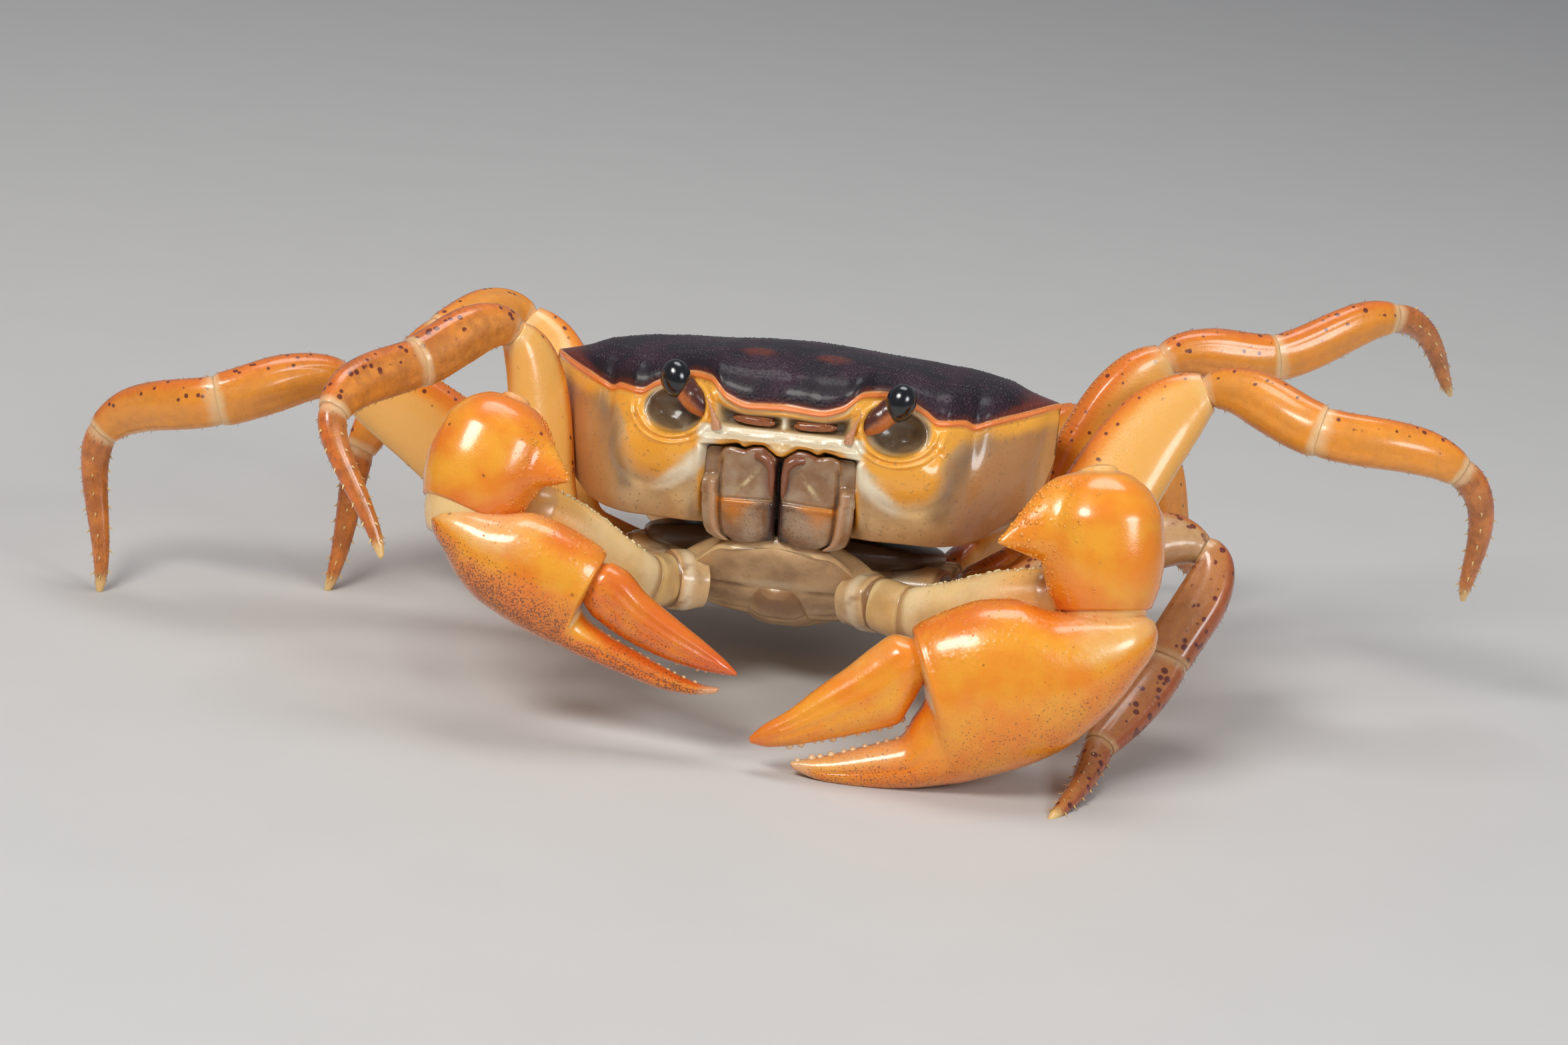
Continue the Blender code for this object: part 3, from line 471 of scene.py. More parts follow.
def seats_on(points: Array, rows: Array, columns: Array) -> tuple[Array, Array]:
    """Places on a tube of rings and the frame there: along the tube, round it, and outward.

    The outward direction is the cross product of the two others, turned away from the ring's middle.

    Args:
        points: Rows of rings.
        rows: Row of each place.
        columns: Column of each place.

    Returns:
        The places and their frames.
    """
    total_rows, total_columns = points.shape[:2]
    places = points[rows, columns]
    ahead = points[np.minimum(rows + 1, total_rows - 1), columns] - points[np.maximum(rows - 1, 0), columns]
    side = points[rows, (columns + 1) % total_columns] - points[rows, (columns - 1) % total_columns]
    out = unit(np.cross(ahead, side))
    inside = points[rows].mean(axis=1)
    out = out * np.sign(np.einsum("ij,ij->i", out, places - inside))[:, None]
    along = unit(ahead - out * np.einsum("ij,ij->i", ahead, out)[:, None])
    return places, np.stack((along, np.cross(out, along), out), axis=1)


def upright(radius: Array, height: Array) -> Array:
    """Three half sizes for each copy of a small shape: its radius twice, then its height."""
    return np.stack((radius, radius, height), axis=1)


def leaned(frames: Array, share: Any) -> Array:
    """Frames whose outward axis leans along the tube by a share of one unit."""
    along, _, out = (frames[:, k] for k in range(3))
    up = unit(out + along * np.asarray(share)[..., None])
    x = unit(along - up * np.einsum("ij,ij->i", along, up)[:, None])
    return np.stack((x, np.cross(up, x), up), axis=1)


class Value:
    """A number that varies over the surface: a socket whose arithmetic adds Math nodes."""

    def __init__(self, paint: "Paint", socket: bpy.types.NodeSocket) -> None:
        """Wraps a socket of a paint's node tree."""
        self.paint = paint
        self.socket = socket

    def __add__(self, other: Any) -> "Value":
        """Sum."""
        return self.paint.math("ADD", self, other)

    __radd__ = __add__

    def __mul__(self, other: Any) -> "Value":
        """Product."""
        return self.paint.math("MULTIPLY", self, other)

    __rmul__ = __mul__

    def __sub__(self, other: Any) -> "Value":
        """This less another."""
        return self.paint.math("SUBTRACT", self, other)

    def __rsub__(self, other: Any) -> "Value":
        """Another less this."""
        return self.paint.math("SUBTRACT", other, self)

    def between(self, low: Any, high: Any) -> "Value":
        """Nought below low, one above high, and an even S between them."""
        return self.paint.node(
            "ShaderNodeMapRange", {"interpolation_type": "SMOOTHSTEP"}, {0: self, 1: low, 2: high}
        )


class Paint:
    """Node tree of one material, with its Principled shader."""

    def __init__(self, name: str, constants: dict[str, Any]) -> None:
        """Makes the material and sets the shader's constant sockets.

        Args:
            name: Name of the material.
            constants: Socket name to its value.
        """
        self.material = bpy.data.materials.new(name)
        self.material.use_nodes = True
        self.tree = self.material.node_tree
        self.shader = self.tree.nodes["Principled BSDF"]
        for key, value in constants.items():
            self.shader.inputs[key].default_value = value
        self.place = self.node("ShaderNodeTexCoord", {}, {}, "Object")

    def put(self, socket: bpy.types.NodeSocket, value: Any) -> None:
        """Links or sets one socket: a Value is linked, a colour gets its fourth number."""
        if isinstance(value, Value):
            self.tree.links.new(value.socket, socket)
        elif isinstance(value, tuple) and len(value) == 3 and socket.type == "RGBA":
            socket.default_value = (*value, 1)
        else:
            socket.default_value = value

    def node(self, kind: str, settings: dict[str, Any], sockets: dict[Any, Any], output: Any = 0) -> Value:
        """Adds one node.

        Args:
            kind: The node's type.
            settings: Its own settings, which are set first.
            sockets: Name or number of an input to its value or link.
            output: Name or number of the output that is wanted.

        Returns:
            That output.
        """
        made = self.tree.nodes.new(kind)
        for key, value in settings.items():
            setattr(made, key, value)
        for key, value in sockets.items():
            self.put(made.inputs[key], value)
        return Value(self, made.outputs[output])

    def math(self, operation: str, first: Any, second: Any) -> Value:
        """One Math node."""
        return self.node("ShaderNodeMath", {"operation": operation}, {0: first, 1: second})

    def mark(self, name: str) -> Value:
        """A mark of the mesh."""
        return self.node("ShaderNodeAttribute", {"attribute_name": name}, {}, "Fac")

    def noise(self, size: float, detail: float = 3.0, roughness: float = 0.5) -> Value:
        """Soft noise whose lumps are about this many millimetres across."""
        sockets = {"Vector": self.place, "Scale": 1 / (size * MM), "Detail": detail, "Roughness": roughness}
        return self.node("ShaderNodeTexNoise", {}, sockets, "Fac")

    def cells(self, size: float) -> Value:
        """Distance to the nearest of many scattered points, as a share of their spacing in millimetres."""
        sockets = {"Vector": self.place, "Scale": 1 / (size * MM)}
        return self.node("ShaderNodeTexVoronoi", {}, sockets, "Distance")

    def blend(self, share: Any, first: Any, second: Any) -> Value:
        """Colour between two others."""
        return self.node("ShaderNodeMix", {"data_type": "RGBA"}, {0: share, 6: first, 7: second}, 2)

    def zone(
        self, base: Any, name: str, tint: Color, wobble: Any, low: float = 0.2, high: float = 0.9
    ) -> Value:
        """A base colour that turns to a tint where a mark plus a wobble passes from low to high."""
        return self.blend((self.mark(name) + wobble).between(low, high), base, tint)

    def bump(self, height: Value, depth: float) -> Value:
        """Bump from a height, where one stands for this depth in millimetres."""
        return self.node("ShaderNodeBump", {}, {"Height": height, "Distance": depth * MM}, "Normal")

    def link(self, **sockets: Value) -> Material:
        """Links values to the shader, with spaces in socket names written as underscores."""
        for key, value in sockets.items():
            self.put(self.shader.inputs[key.replace("_", " ")], value)
        return self.material


def shader_constants(roughness: float, coat: float, flesh: float = 0.0) -> dict[str, Any]:
    """Sockets that stay the same over a wet, slightly translucent surface.

    Args:
        roughness: Roughness under the coat.
        coat: Weight of the wet coat.
        flesh: Weight of the light that passes below the surface.

    Returns:
        Socket name to value.
    """
    return {
        "Roughness": roughness,
        "Coat Weight": coat,
        "Coat Roughness": 0.15,
        "Subsurface Weight": flesh,
        "Subsurface Radius": (1, 0.45, 0.15),
        "Subsurface Scale": 0.7 * MM,
        "IOR": 1.45,
    }


@dataclass(frozen=True)
class ShellFinish:
    """Wet dark back, orange rim, and the cream and golden face with its zones."""

    dark: Color = (0.011, 0.0055, 0.0105)
    purple: Color = (0.035, 0.010, 0.022)
    red: Color = (0.16, 0.03, 0.018)
    olive: Color = (0.05, 0.032, 0.014)
    rim: Color = (0.86, 0.23, 0.045)
    gold: Color = (0.93, 0.43, 0.05)
    tan: Color = (0.47, 0.20, 0.06)
    cream: Color = (0.82, 0.58, 0.28)
    pale: Color = (0.88, 0.78, 0.56)
    grey: Color = (0.25, 0.16, 0.09)
    # Dark grey-brown of the orbits: partly their own colour, partly painted shade beneath the eyes; also
    # painted shade in the antennule pits
    bowl: Color = (0.075, 0.045, 0.03)
    # Near-black painted shade for the pores, the antennule pits and the recess behind the mouthparts
    hole: Color = (0.008, 0.005, 0.004)

    def material(self) -> Material:
        """Mixes the zones by their marks, each with its edge broken by noise."""
        paint = Paint("shell", {**shader_constants(0.32, 0.75, 0.12), "Specular IOR Level": 0.38})
        broad, fine, mottle = paint.noise(2.6, 4), paint.noise(0.35, 3), paint.noise(0.9, 4, 0.6)
        wobble = (mottle - 0.5) * 0.5

        back = paint.blend(broad.between(0.42, 0.68), self.dark, self.purple)
        back = paint.blend((paint.mark("olive") * broad.between(0.35, 0.65)) * 0.8, back, self.olive)
        red = (paint.mark("patch") + wobble).between(0.25, 0.95)
        back = paint.blend(red * 0.85, back, self.red)

        face = paint.blend(broad.between(0.35, 0.8) * 0.55, self.cream, self.tan)
        face = paint.blend(paint.mark("tan") * 0.9, face, self.tan)
        face = paint.zone(face, "gold", self.gold, wobble * 0.6, 0.1, 0.85)
        face = paint.blend(paint.mark("grey") * (0.55 + 0.4 * mottle), face, self.grey)
        face = paint.zone(face, "pale", self.pale, wobble * 0.5, 0.15, 0.8)
        # The orbits' own grey-brown darkened into painted shade, and painted shade in the antennule pits
        face = paint.blend(paint.mark("bowl") * (0.7 + 0.3 * mottle), face, self.bowl)
        # Painted shade: near-black in the pores, the antennule pits and the recess behind the mouthparts
        face = paint.blend(paint.mark("hole"), face, self.hole)
        specks = fine.between(0.6, 0.68) * (0.25 + 0.35 * mottle)
        face = paint.blend(specks * (1 - paint.mark("pale")), face, self.grey)

        color = paint.blend((paint.mark("back") + wobble * 0.25).between(0.3, 0.7), face, back)
        color = paint.blend(paint.mark("rim"), color, self.rim)

        grains = (1 - paint.cells(0.3).between(0.05, 0.6)) * broad.between(0.3, 0.6)
        top, bead = paint.mark("back"), paint.mark("bead")
        pits = paint.noise(0.22, 2) * (1 - top) * 0.45
        normal = paint.bump((grains + fine * 0.4) * top + mottle * 0.4 * (1 - 0.7 * top) + pits, 0.06)
        rough = 0.26 + 0.12 * mottle + 0.16 * top - 0.2 * bead
        coat = 0.8 - 0.62 * top + 0.8 * bead
        return paint.link(Base_Color=color, Roughness=rough, Coat_Weight=coat, Normal=normal)


@dataclass(frozen=True)
class ClawFinish:
    """Glossy orange with dark specks below, pale and deep zones, and whitish teeth."""

    name: str
    orange: Color = (0.92, 0.27, 0.012)
    yellow: Color = (0.95, 0.40, 0.025)
    deep: Color = (0.74, 0.13, 0.012)
    speck: Color = (0.17, 0.05, 0.016)
    dot: Color = (0.16, 0.018, 0.012)
    pale: Color = (0.92, 0.62, 0.27)
    tooth: Color = (0.88, 0.70, 0.44)
    speckle: float = 1.0

    def material(self) -> Material:
        """Mixes the orange ground with its marks, specks and granules."""
        paint = Paint(self.name, shader_constants(0.24, 0.85, 0.14))
        broad, mottle, fine = paint.noise(3.5, 3), paint.noise(0.8, 4, 0.6), paint.noise(0.14, 2)
        color = paint.blend(broad.between(0.35, 0.7), self.orange, self.yellow)
        color = paint.zone(color, "deep", self.deep, (mottle - 0.5) * 0.4, 0.15, 1)
        color = paint.zone(color, "pale", self.pale, (mottle - 0.5) * 0.3)
        density = paint.mark("low") * self.speckle * (0.6 + 0.8 * paint.noise(1.6, 2))
        color = paint.blend((density + (mottle - 0.5) * 0.6).between(0.2, 1.2) * 0.55, color, self.deep)
        limit = 0.72 - density * 0.2
        specks = (fine - limit).between(0, 0.05)
        color = paint.blend(specks * density.between(0.02, 0.3) * 0.8, color, self.speck)
        dots = (1 - paint.cells(2.3).between(0.045, 0.085)) * (1 - paint.mark("pale"))
        color = paint.blend(dots * paint.mark("dots"), color, self.dot)
        color = paint.blend(paint.mark("tooth"), color, self.tooth)
        grains = 1 - paint.cells(0.55).between(0.05, 0.5)
        normal = paint.bump(grains * 0.5 * paint.mark("grain") + mottle * 0.5 + fine * 0.25, 0.055)
        return paint.link(Base_Color=color, Roughness=0.2 + 0.14 * mottle, Normal=normal)


@dataclass(frozen=True)
class LegFinish:
    """Translucent orange limb: paler faces, darker upper edge, maroon spots and whitish joints."""

    name: str
    ground: Color = (0.94, 0.33, 0.022)
    pale: Color = (0.95, 0.49, 0.11)
    edge: Color = (0.78, 0.17, 0.015)
    brown: Color = (0.32, 0.085, 0.02)
    spot: Color = (0.12, 0.011, 0.014)
    joint: Color = (0.94, 0.66, 0.36)
    horn: Color = (0.86, 0.56, 0.22)
    hair: Color = (0.28, 0.13, 0.045)
    browning: float = 0.0
    reach: float = 1.0
    dots: float = 0.0
    flesh: float = 0.2

    def material(self) -> Material:
        """Mixes the ground with edge, brown, spots and joints by the marks of the segment."""
        paint = Paint(self.name, shader_constants(0.28, 0.7, self.flesh))
        mottle, broad, fine = paint.noise(0.7, 4, 0.6), paint.noise(2.4, 3), paint.noise(0.12, 2)
        color = paint.zone(self.ground, "pale", self.pale, (broad - 0.5) * 0.4, 0.1)
        upper, ripple = paint.mark("upper"), (mottle - 0.5) * 0.5
        color = paint.blend((upper + ripple).between(0.25, 1.1) * 0.85, color, self.edge)
        color = paint.blend((mottle + broad).between(0.75, 1.25) * self.browning, color, self.brown)
        specks = fine.between(0.64, 0.7) * (0.12 + 0.5 * self.browning)
        color = paint.blend(specks, color, self.brown)
        cells = paint.cells(0.8) - self.dots + ripple * 0.5 + (paint.noise(1.2, 1) - 0.5) * 0.35
        chance = (paint.mark("spots") * self.reach + (paint.noise(1.4, 1) - 0.5) * 0.9).between(0.36, 0.56)
        color = paint.blend((1 - cells.between(0.15, 0.26)) * chance * 0.9, color, self.spot)
        joint = (paint.mark("joint") + ripple * 1.2).between(0.2, 1) * 0.7
        color = paint.blend(joint, color, self.joint)
        color = paint.blend(paint.mark("horn"), color, self.horn)
        color = paint.blend(paint.mark("hair"), color, self.hair)
        wrinkles = paint.math("SINE", paint.mark("along") * 15 + mottle * 5, 0)
        wrinkles = wrinkles * upper * broad.between(0.4, 0.65) * 0.14
        normal = paint.bump(mottle * 0.6 + fine * 0.3 + broad * 0.3 + wrinkles, 0.06)
        return paint.link(Base_Color=color, Roughness=0.22 + 0.18 * mottle, Normal=normal)


@dataclass(frozen=True)
class UndersideFinish:
    """Cream plates with brown clouds, darker in their grooves, and a near-black painted shadow."""

    name: str = "underside"
    cream: Color = (0.76, 0.52, 0.26)
    pale: Color = (0.86, 0.72, 0.48)
    brown: Color = (0.30, 0.15, 0.06)
    gold: Color = (0.86, 0.47, 0.12)
    # Near-black painted shadow of the wall under the shell
    deep: Color = (0.035, 0.018, 0.012)
    hair: Color = (0.16, 0.08, 0.035)
    flesh: float = 0.15

    def material(self) -> Material:
        """Mixes the cream ground with clouds and the marks of grooves and edges."""
        paint = Paint(self.name, shader_constants(0.3, 0.7, self.flesh))
        mottle, broad, fine = paint.noise(0.8, 4, 0.6), paint.noise(3, 4, 0.6), paint.noise(0.15, 2)
        color = paint.blend(broad.between(0.38, 0.72) * 0.6, self.cream, self.brown)
        for name, tint in (("pale", self.pale), ("gold", self.gold)):
            color = paint.zone(color, name, tint, (mottle - 0.5) * 0.4)
        dark = (paint.mark("dark") + (mottle - 0.5) * 0.3).between(0.1, 0.9)
        color = paint.blend(dark * 0.9, color, self.brown)
        color = paint.blend(fine.between(0.66, 0.72) * 0.4, color, self.brown)
        # Painted shadow where the deep mark is set
        color = paint.blend(paint.mark("deep") * 0.9, color, self.deep)
        color = paint.blend(paint.mark("hair"), color, self.hair)
        normal = paint.bump(mottle * 0.6 + fine * 0.2, 0.06)
        coat = 0.7 - 0.65 * paint.mark("deep")
        return paint.link(Base_Color=color, Roughness=0.24 + 0.18 * mottle, Coat_Weight=coat, Normal=normal)


@dataclass(frozen=True)
class MouthFinish:
    """Translucent grey-brown mouthparts with whitish streaks, an orange bloom and dark specks, with painted
    shade at the seams and a painted highlight at the top inner corners.
    """

    grey: Color = (0.30, 0.155, 0.065)
    amber: Color = (0.66, 0.24, 0.035)
    window: Color = (0.44, 0.31, 0.19)
    pink: Color = (0.56, 0.34, 0.19)
    red: Color = (0.24, 0.075, 0.035)
    streak: Color = (0.70, 0.55, 0.30)
    dark: Color = (0.05, 0.022, 0.018)

    def material(self) -> Material:
        """Mixes the plates by their marks."""
        paint = Paint("mouthpart", shader_constants(0.28, 0.8, 0.2))
        mottle, fine, broad = paint.noise(0.6, 4, 0.6), paint.noise(0.13, 2), paint.noise(1.6, 3)
        color = paint.blend(broad.between(0.35, 0.7), self.grey, self.window)
        color = paint.zone(color, "amber", self.amber, (mottle - 0.5) * 0.5, 0.2, 0.95)
        color = paint.zone(color, "pink", self.pink, (mottle - 0.5) * 0.3)
        color = paint.zone(color, "red", self.red, (mottle - 0.5) * 0.4)
        # Streak mark: the golden streak, plus a painted highlight at the top inner corner
        color = paint.blend(paint.mark("streak") * mottle.between(0.4, 0.6), color, self.streak)
        # Dark mark: the inner ischium's own dark brown, and painted shade along the midline, the suture, the
        # lower edge and the trench
        color = paint.zone(color, "dark", self.dark, (mottle - 0.5) * 0.3, 0.2, 1)
        color = paint.blend(fine.between(0.62, 0.68) * paint.mark("specks"), color, self.dark)
        normal = paint.bump(mottle * 0.8 + fine * 0.4, 0.06)
        return paint.link(Base_Color=color, Roughness=0.16 + 0.2 * mottle, Normal=normal)


@dataclass(frozen=True)
class StalkFinish:
    """Dark red-brown stalks and feelers with an orange side and fine rings."""

    dark: Color = (0.085, 0.02, 0.012)
    amber: Color = (0.62, 0.19, 0.045)
    pale: Color = (0.80, 0.62, 0.42)

    def material(self) -> Material:
        """Mixes dark and amber by marks and noise."""
        paint = Paint("stalk", shader_constants(0.28, 0.8, 0.15))
        mottle, fine = paint.noise(0.5, 4, 0.6), paint.noise(0.12, 2)
        color = paint.zone(self.dark, "amber", self.amber, (mottle - 0.5) * 0.5)
        color = paint.blend(paint.mark("pale"), color, self.pale)
        color = paint.blend(fine.between(0.6, 0.68) * 0.5, color, self.dark)
        return paint.link(Base_Color=color, Normal=paint.bump(mottle + fine * 0.3, 0.04))


@dataclass(frozen=True)
class EyeFinish:
    """Black glossy eye with a brown edge where it meets its stalk."""

    black: Color = (0.004, 0.004, 0.006)
    brown: Color = (0.14, 0.05, 0.02)

    def material(self) -> Material:
        """Mixes black and brown, over a net of tiny facets."""
        paint = Paint("eye", shader_constants(0.16, 1))
        mottle = paint.noise(0.5, 3)
        color = paint.zone(self.black, "edge", self.brown, (mottle - 0.5) * 0.4, 0.3)
        rough = 0.1 + 0.1 * mottle + 0.3 * paint.mark("edge")
        return paint.link(Base_Color=color, Roughness=rough, Normal=paint.bump(paint.cells(0.06), 0.004))


class Finishes:
    """Every finish of the crab, made once."""

    def __init__(self) -> None:
        """Makes the materials in a fixed order."""
        self.shell = ShellFinish().material()
        self.big_claw = ClawFinish("claw_big", speckle=0.75).material()
        self.small_claw = ClawFinish("claw_small", orange=(0.88, 0.23, 0.012), speckle=1.15).material()
        self.merus = LegFinish("leg_merus", flesh=0.3).material()
        self.shank = LegFinish("leg_shank", browning=0.2, ground=(0.92, 0.32, 0.024)).material()
        self.tawny = LegFinish(
            "leg_tawny", browning=0.5, dots=0.05, reach=1.3, ground=(0.80, 0.27, 0.035)
        ).material()
        self.toe = LegFinish("leg_toe", browning=0.6, ground=(0.72, 0.24, 0.045)).material()
        self.dusky = LegFinish(
            "leg_dusky", browning=0.4, reach=2.2, dots=0.08, ground=(0.54, 0.20, 0.05),
            pale=(0.58, 0.34, 0.15), edge=(0.42, 0.08, 0.025), joint=(0.66, 0.42, 0.2),
        ).material()
        self.underside = UndersideFinish().material()
        self.arm = UndersideFinish(
            "arm", cream=(0.82, 0.55, 0.22), pale=(0.90, 0.70, 0.38), brown=(0.50, 0.27, 0.10), flesh=0.25
        ).material()
        self.mouthpart = MouthFinish().material()
        self.stalk = StalkFinish().material()
        self.eye = EyeFinish().material()


@dataclass
class Carapace:
    """Shell of the back, the face with its orbits, the mouth frame and the side walls."""

    half_width: float = 19.0
    mouth_half: float = 5.5
    stations: int = 400
    face_rows: int = 113
    back_rows: int = 90
    orbit_at: Triple = (8.3, -13.7, -2.9)
    orbit_radii: Triple = (2.45, 2.5, 2)
    level_pivot: float = -3.95
    back_top: float = 0.45
    # Depth of the middle of the face at rising levels
    face_levels: tuple[float, ...] = (
        -11.2, -10.4, -9.5, -8.5, -7.5, -6.7, -6.1, -5.85, -5.7, -5.3, -4.9, -4.4, -4, -3.8, -3.45, -3.1,
        -2.95, -2.7, -2.4, -2.15,
    )
    middle_y: tuple[float, ...] = (
        -9.7, -10.1, -10.4, -10.8, -11.1, -11.35, -11.5, -11.7, -13.8, -14, -13.65, -13.45, -13.35, -12.8,
        -12.6, -12.75, -13.6, -13.9, -13.95, -13.75,
    )
    # Two lines on the face, by distance from the midline and height: a pale fold and a grey shade
    roll: Table = ((5.3, -5), (5.7, -6.2), (6.6, -7.4), (8.6, -8.7), (11.1, -9.5))
    shade: Table = ((14.3, -3), (13, -4.8), (12.5, -6.8), (11.6, -8.8))
    # Each curve is read at a distance from the midline: y and height z of the front margin and of the
    # rear margin, height of the top of the back, lower edge of the face and side wall, how far that
    # wall bows out, and the lip of the mouth frame
    front_y: Curve = Curve(
        (0, 0.9, 2.6, 4.8, 6.3, 8.3, 10.2, 11.3, 12.9, 13.5, 14.3, 16.5, 18.2, 19),
        (-13.75, -13.85, -14.15, -13.9, -12.5, -11.6, -11.5, -11.5, -10.2, -9.6, -9.25, -6.9, -4.8, -3),
    )
    front_z: Curve = Curve(
        (0, 1, 2.6, 4.2, 5.65, 7, 8.5, 10, 11, 12.8, 13.4, 14.2, 16.5, 19),
        (-2.15, -2.2, -2.3, -1.8, -0.6, -0.45, -0.8, -1.5, -2.1, -1.9, -2.15, -1.85, -1, 0),
    )
    rear_y: Curve = Curve((0, 6, 10, 14, 17, 18.5, 19), (14, 13.6, 12.2, 8.6, 3.6, 0.2, -3))
    rear_z: Curve = Curve((0, 10, 15, 19), (-7, -6, -3.5, 0))
    dome_z: Curve = Curve((0, 3, 6.5, 10, 15, 16.7, 19), (2.7, 2.6, 2.25, 1.9, 1.3, 0.7, 0.1))
    lower_y: Curve = Curve(
        (0, 5.3, 7, 9.4, 12.3, 15.8, 17.5, 19), (-9.7, -9.7, -11, -10.4, -9.6, -7.6, -6, -3)
    )
    lower_z: Curve = Curve(
        (0, 11, 13, 14.6, 16.2, 17.5, 18.3, 18.7, 19),
        (-11.2, -11.2, -10.95, -10.3, -8.9, -7.5, -6.4, -5.1, -3.7),
    )
    cheek_bulge: Curve = Curve((0, 6.2, 8.3, 11, 14, 17, 19), (2.2, 2.3, 2.5, 1.9, 1.2, 0.8, 0))
    lip: Curve = Curve(
        (0, 0.35, 0.8, 1.4, 2, 2.7, 3.2, 4.6, 6), (-5.8, -5.7, -5.4, -5.08, -5.12, -5.34, -5.12, -5.36, -5.4)
    )
    # Distance from the midline, level and two half sizes of each knob of the plate above the mouth
    knobs: Table = (
        (0.8, -4.8, 0.4, 0.25), (2.2, -4.85, 0.6, 0.2), (3.7, -4.7, 0.5, 0.25), (4.9, -4.3, 0.45, 0.4),
    )

    def orbit_radius(self, a: Array, z: Array) -> Array:
        """Distance from the middle of the orbit as a share of its half sizes."""
        at, radii = self.orbit_at, self.orbit_radii
        return np.hypot((a - at[0]) / radii[0], (z - at[2]) / radii[2])

    def face_marks(self, a: Array, z: Array, level: Array) -> Marks:
        """Zones of the face: each is a smooth bump or ramp of the distance from its place.

        Args:
            a: Distance from the midline.
            z: Height.
            level: The height's own level in the middle of the face.

        Returns:
            Marks in the shape of a.
        """
        z_front = self.front_z(a)
        orbit = self.orbit_radius(a, z)
        inside = fall(orbit, 0.78, 1)
        middle = fall(a, 5, 6)
        lip = self.lip(a)
        under_orbit = band(orbit, 0.92, 1.05, 1.4, 1.9) * ramp(a, 4.5, 5.5)
        swelling = np.hypot((a - 9.5) / 2.9, (z + 6.3) / 2.4)
        gold = under_orbit + 0.75 * fall(swelling, 0.5, 1.2) * ramp(a, 5.5, 6.5)
        gold = gold + 0.95 * bell(z, lip + 0.1, 0.22) * middle
        gold = gold + bell(a, self.mouth_half + 0.15, 0.35) * band(z, -11.2, -10, -6.2, -5.2)
        gold = gold + bell(z - z_front, -0.4, 1.1) * ramp(a, 9.5, 11.5)
        gold = gold + 0.7 * bell(level, -2.72, 0.16) * fall(a, 5, 6)
        pale = band(level, -5, -4.7, -4, -3.8) * fall(a, 5.6, 6.6)
        pale = 0.6 * pale + 0.85 * bell(far_from_line(a, z, self.roll), 0, 0.75) * fall(a, 7.5, 10.6)
        pale = pale + 0.8 * bell(a, 0, 0.35) * band(level, -3.9, -3.6, -3, -2.8)
        grey = bell(far_from_line(a, z, self.shade), 0, 0.8)
        grey = grey + 0.7 * band(level, -4.75, -4.6, -4.5, -4.35) * fall(a, 4.4, 5.2)
        # Orbit bowl: its own grey-brown plus painted shade below the front margin and the eye; the pits
        # under the front get painted shade
        bowl = inside * ramp(z_front - z, 0.3, 0.9)
        fossa = band(level, -3.9, -3.7, -2.95, -2.75) * fall(a, 4.2, 4.9)
        dark = 0.9 * fossa * (1 - bell(a, 0, 0.45))
        # Near-black painted shade: in the two pores, a share in the antennule pits, and on the recess floor
        # behind the mouthparts
        hole = bell(np.hypot((a - 3.2) / 0.42, (z - lip + 0.26) / 0.16), 0, 0.95) * (a < 5)
        hole = hole + 0.3 * dark + 0.85 * fall(a, 4.7, 5.15) * fall(level, -6.3, -5.95)
        tan = 0.95 * ramp(a, 11, 14) + 0.6 * fall(z, -11.2, -9.6) * ramp(a, 6, 7)
        rim = ramp(z - z_front, -0.34, -0.24)
        return {
            "gold": held(gold), "pale": held(pale), "grey": held(grey),
            "bowl": held(bowl + dark), "hole": held(hole), "tan": held(tan), "rim": rim,
        }

    def face_y(self, a: Array, z: Array, level: Array) -> Array:
        """Depth of the face: middle and bowed cheek blended, less rims and knobs, plus the orbit's bowl.

        Args:
            a: Distance from the midline.
            z: Height.
            level: The height's own level in the middle of the face.

        Returns:
            Depth in the shape of a.
        """
        z_low, z_front = self.lower_z(a), self.front_z(a)
        share = held((z - z_low) / np.maximum(z_front - z_low, 0.1))
        front, lower = self.front_y(a), self.lower_y(a)
        cheek = lower + (front - lower) * share - self.cheek_bulge(a) * np.sin(np.pi * share)
        lip = self.lip(a)
        own = level - (lip + 5.75) * band(level, -6.9, -6, -5, -4.3)
        middle = np.interp(own, self.face_levels, self.middle_y)
        middle = middle + (front - self.front_y(0)) * ramp(level, -2.95, -2.15)
        fossa = band(level, -4, -3.8, -3.1, -2.95)
        filled = bell(a, 0, 0.32) + ramp(a, 4.2, 5)
        middle = middle - 0.75 * fossa * filled
        half_blend = 0.2 + 0.5 * ramp(z, -5.85, -5.2)
        side = held((a - self.mouth_half + half_blend) / (2 * half_blend))
        side = side * side * (3 - 2 * side)
        frame_rim = 0.35 * bell(a, self.mouth_half + 0.4, 0.3) * band(z, -11.2, -10, -6, -5)
        orbit = self.orbit_radius(a, z)
        orbit_rim = 0.34 * bell(orbit, 1.12, 0.08) + 0.16 * bell(orbit, 1.34, 0.07)
        orbit_rim = orbit_rim * fall(z - z_front, -1.2, -0.4)
        y = middle * (1 - side) + cheek * side - orbit_rim - frame_rim
        wall = np.sqrt(held(1 - orbit**2))
        y = np.where(orbit < 1, np.maximum(y, self.orbit_at[1] + self.orbit_radii[1] * wall), y)
        swelling = np.hypot((a - 9.5) / 2.9, (z + 6.3) / 2.4)
        y = y - 0.3 * fall(swelling, 0.4, 1) * fall(1.2 - orbit, -0.2, 0.2)
        y = y + 0.12 * bell(swelling, 1.05, 0.12)
        roll = bell(far_from_line(a, z, self.roll), 0, 0.65) * band(a, 5.6, 6.4, 8.5, 11)
        y = y - 0.3 * roll
        y = y + 0.05 * bell(far_from_line(a, z, self.shade), 0, 1)
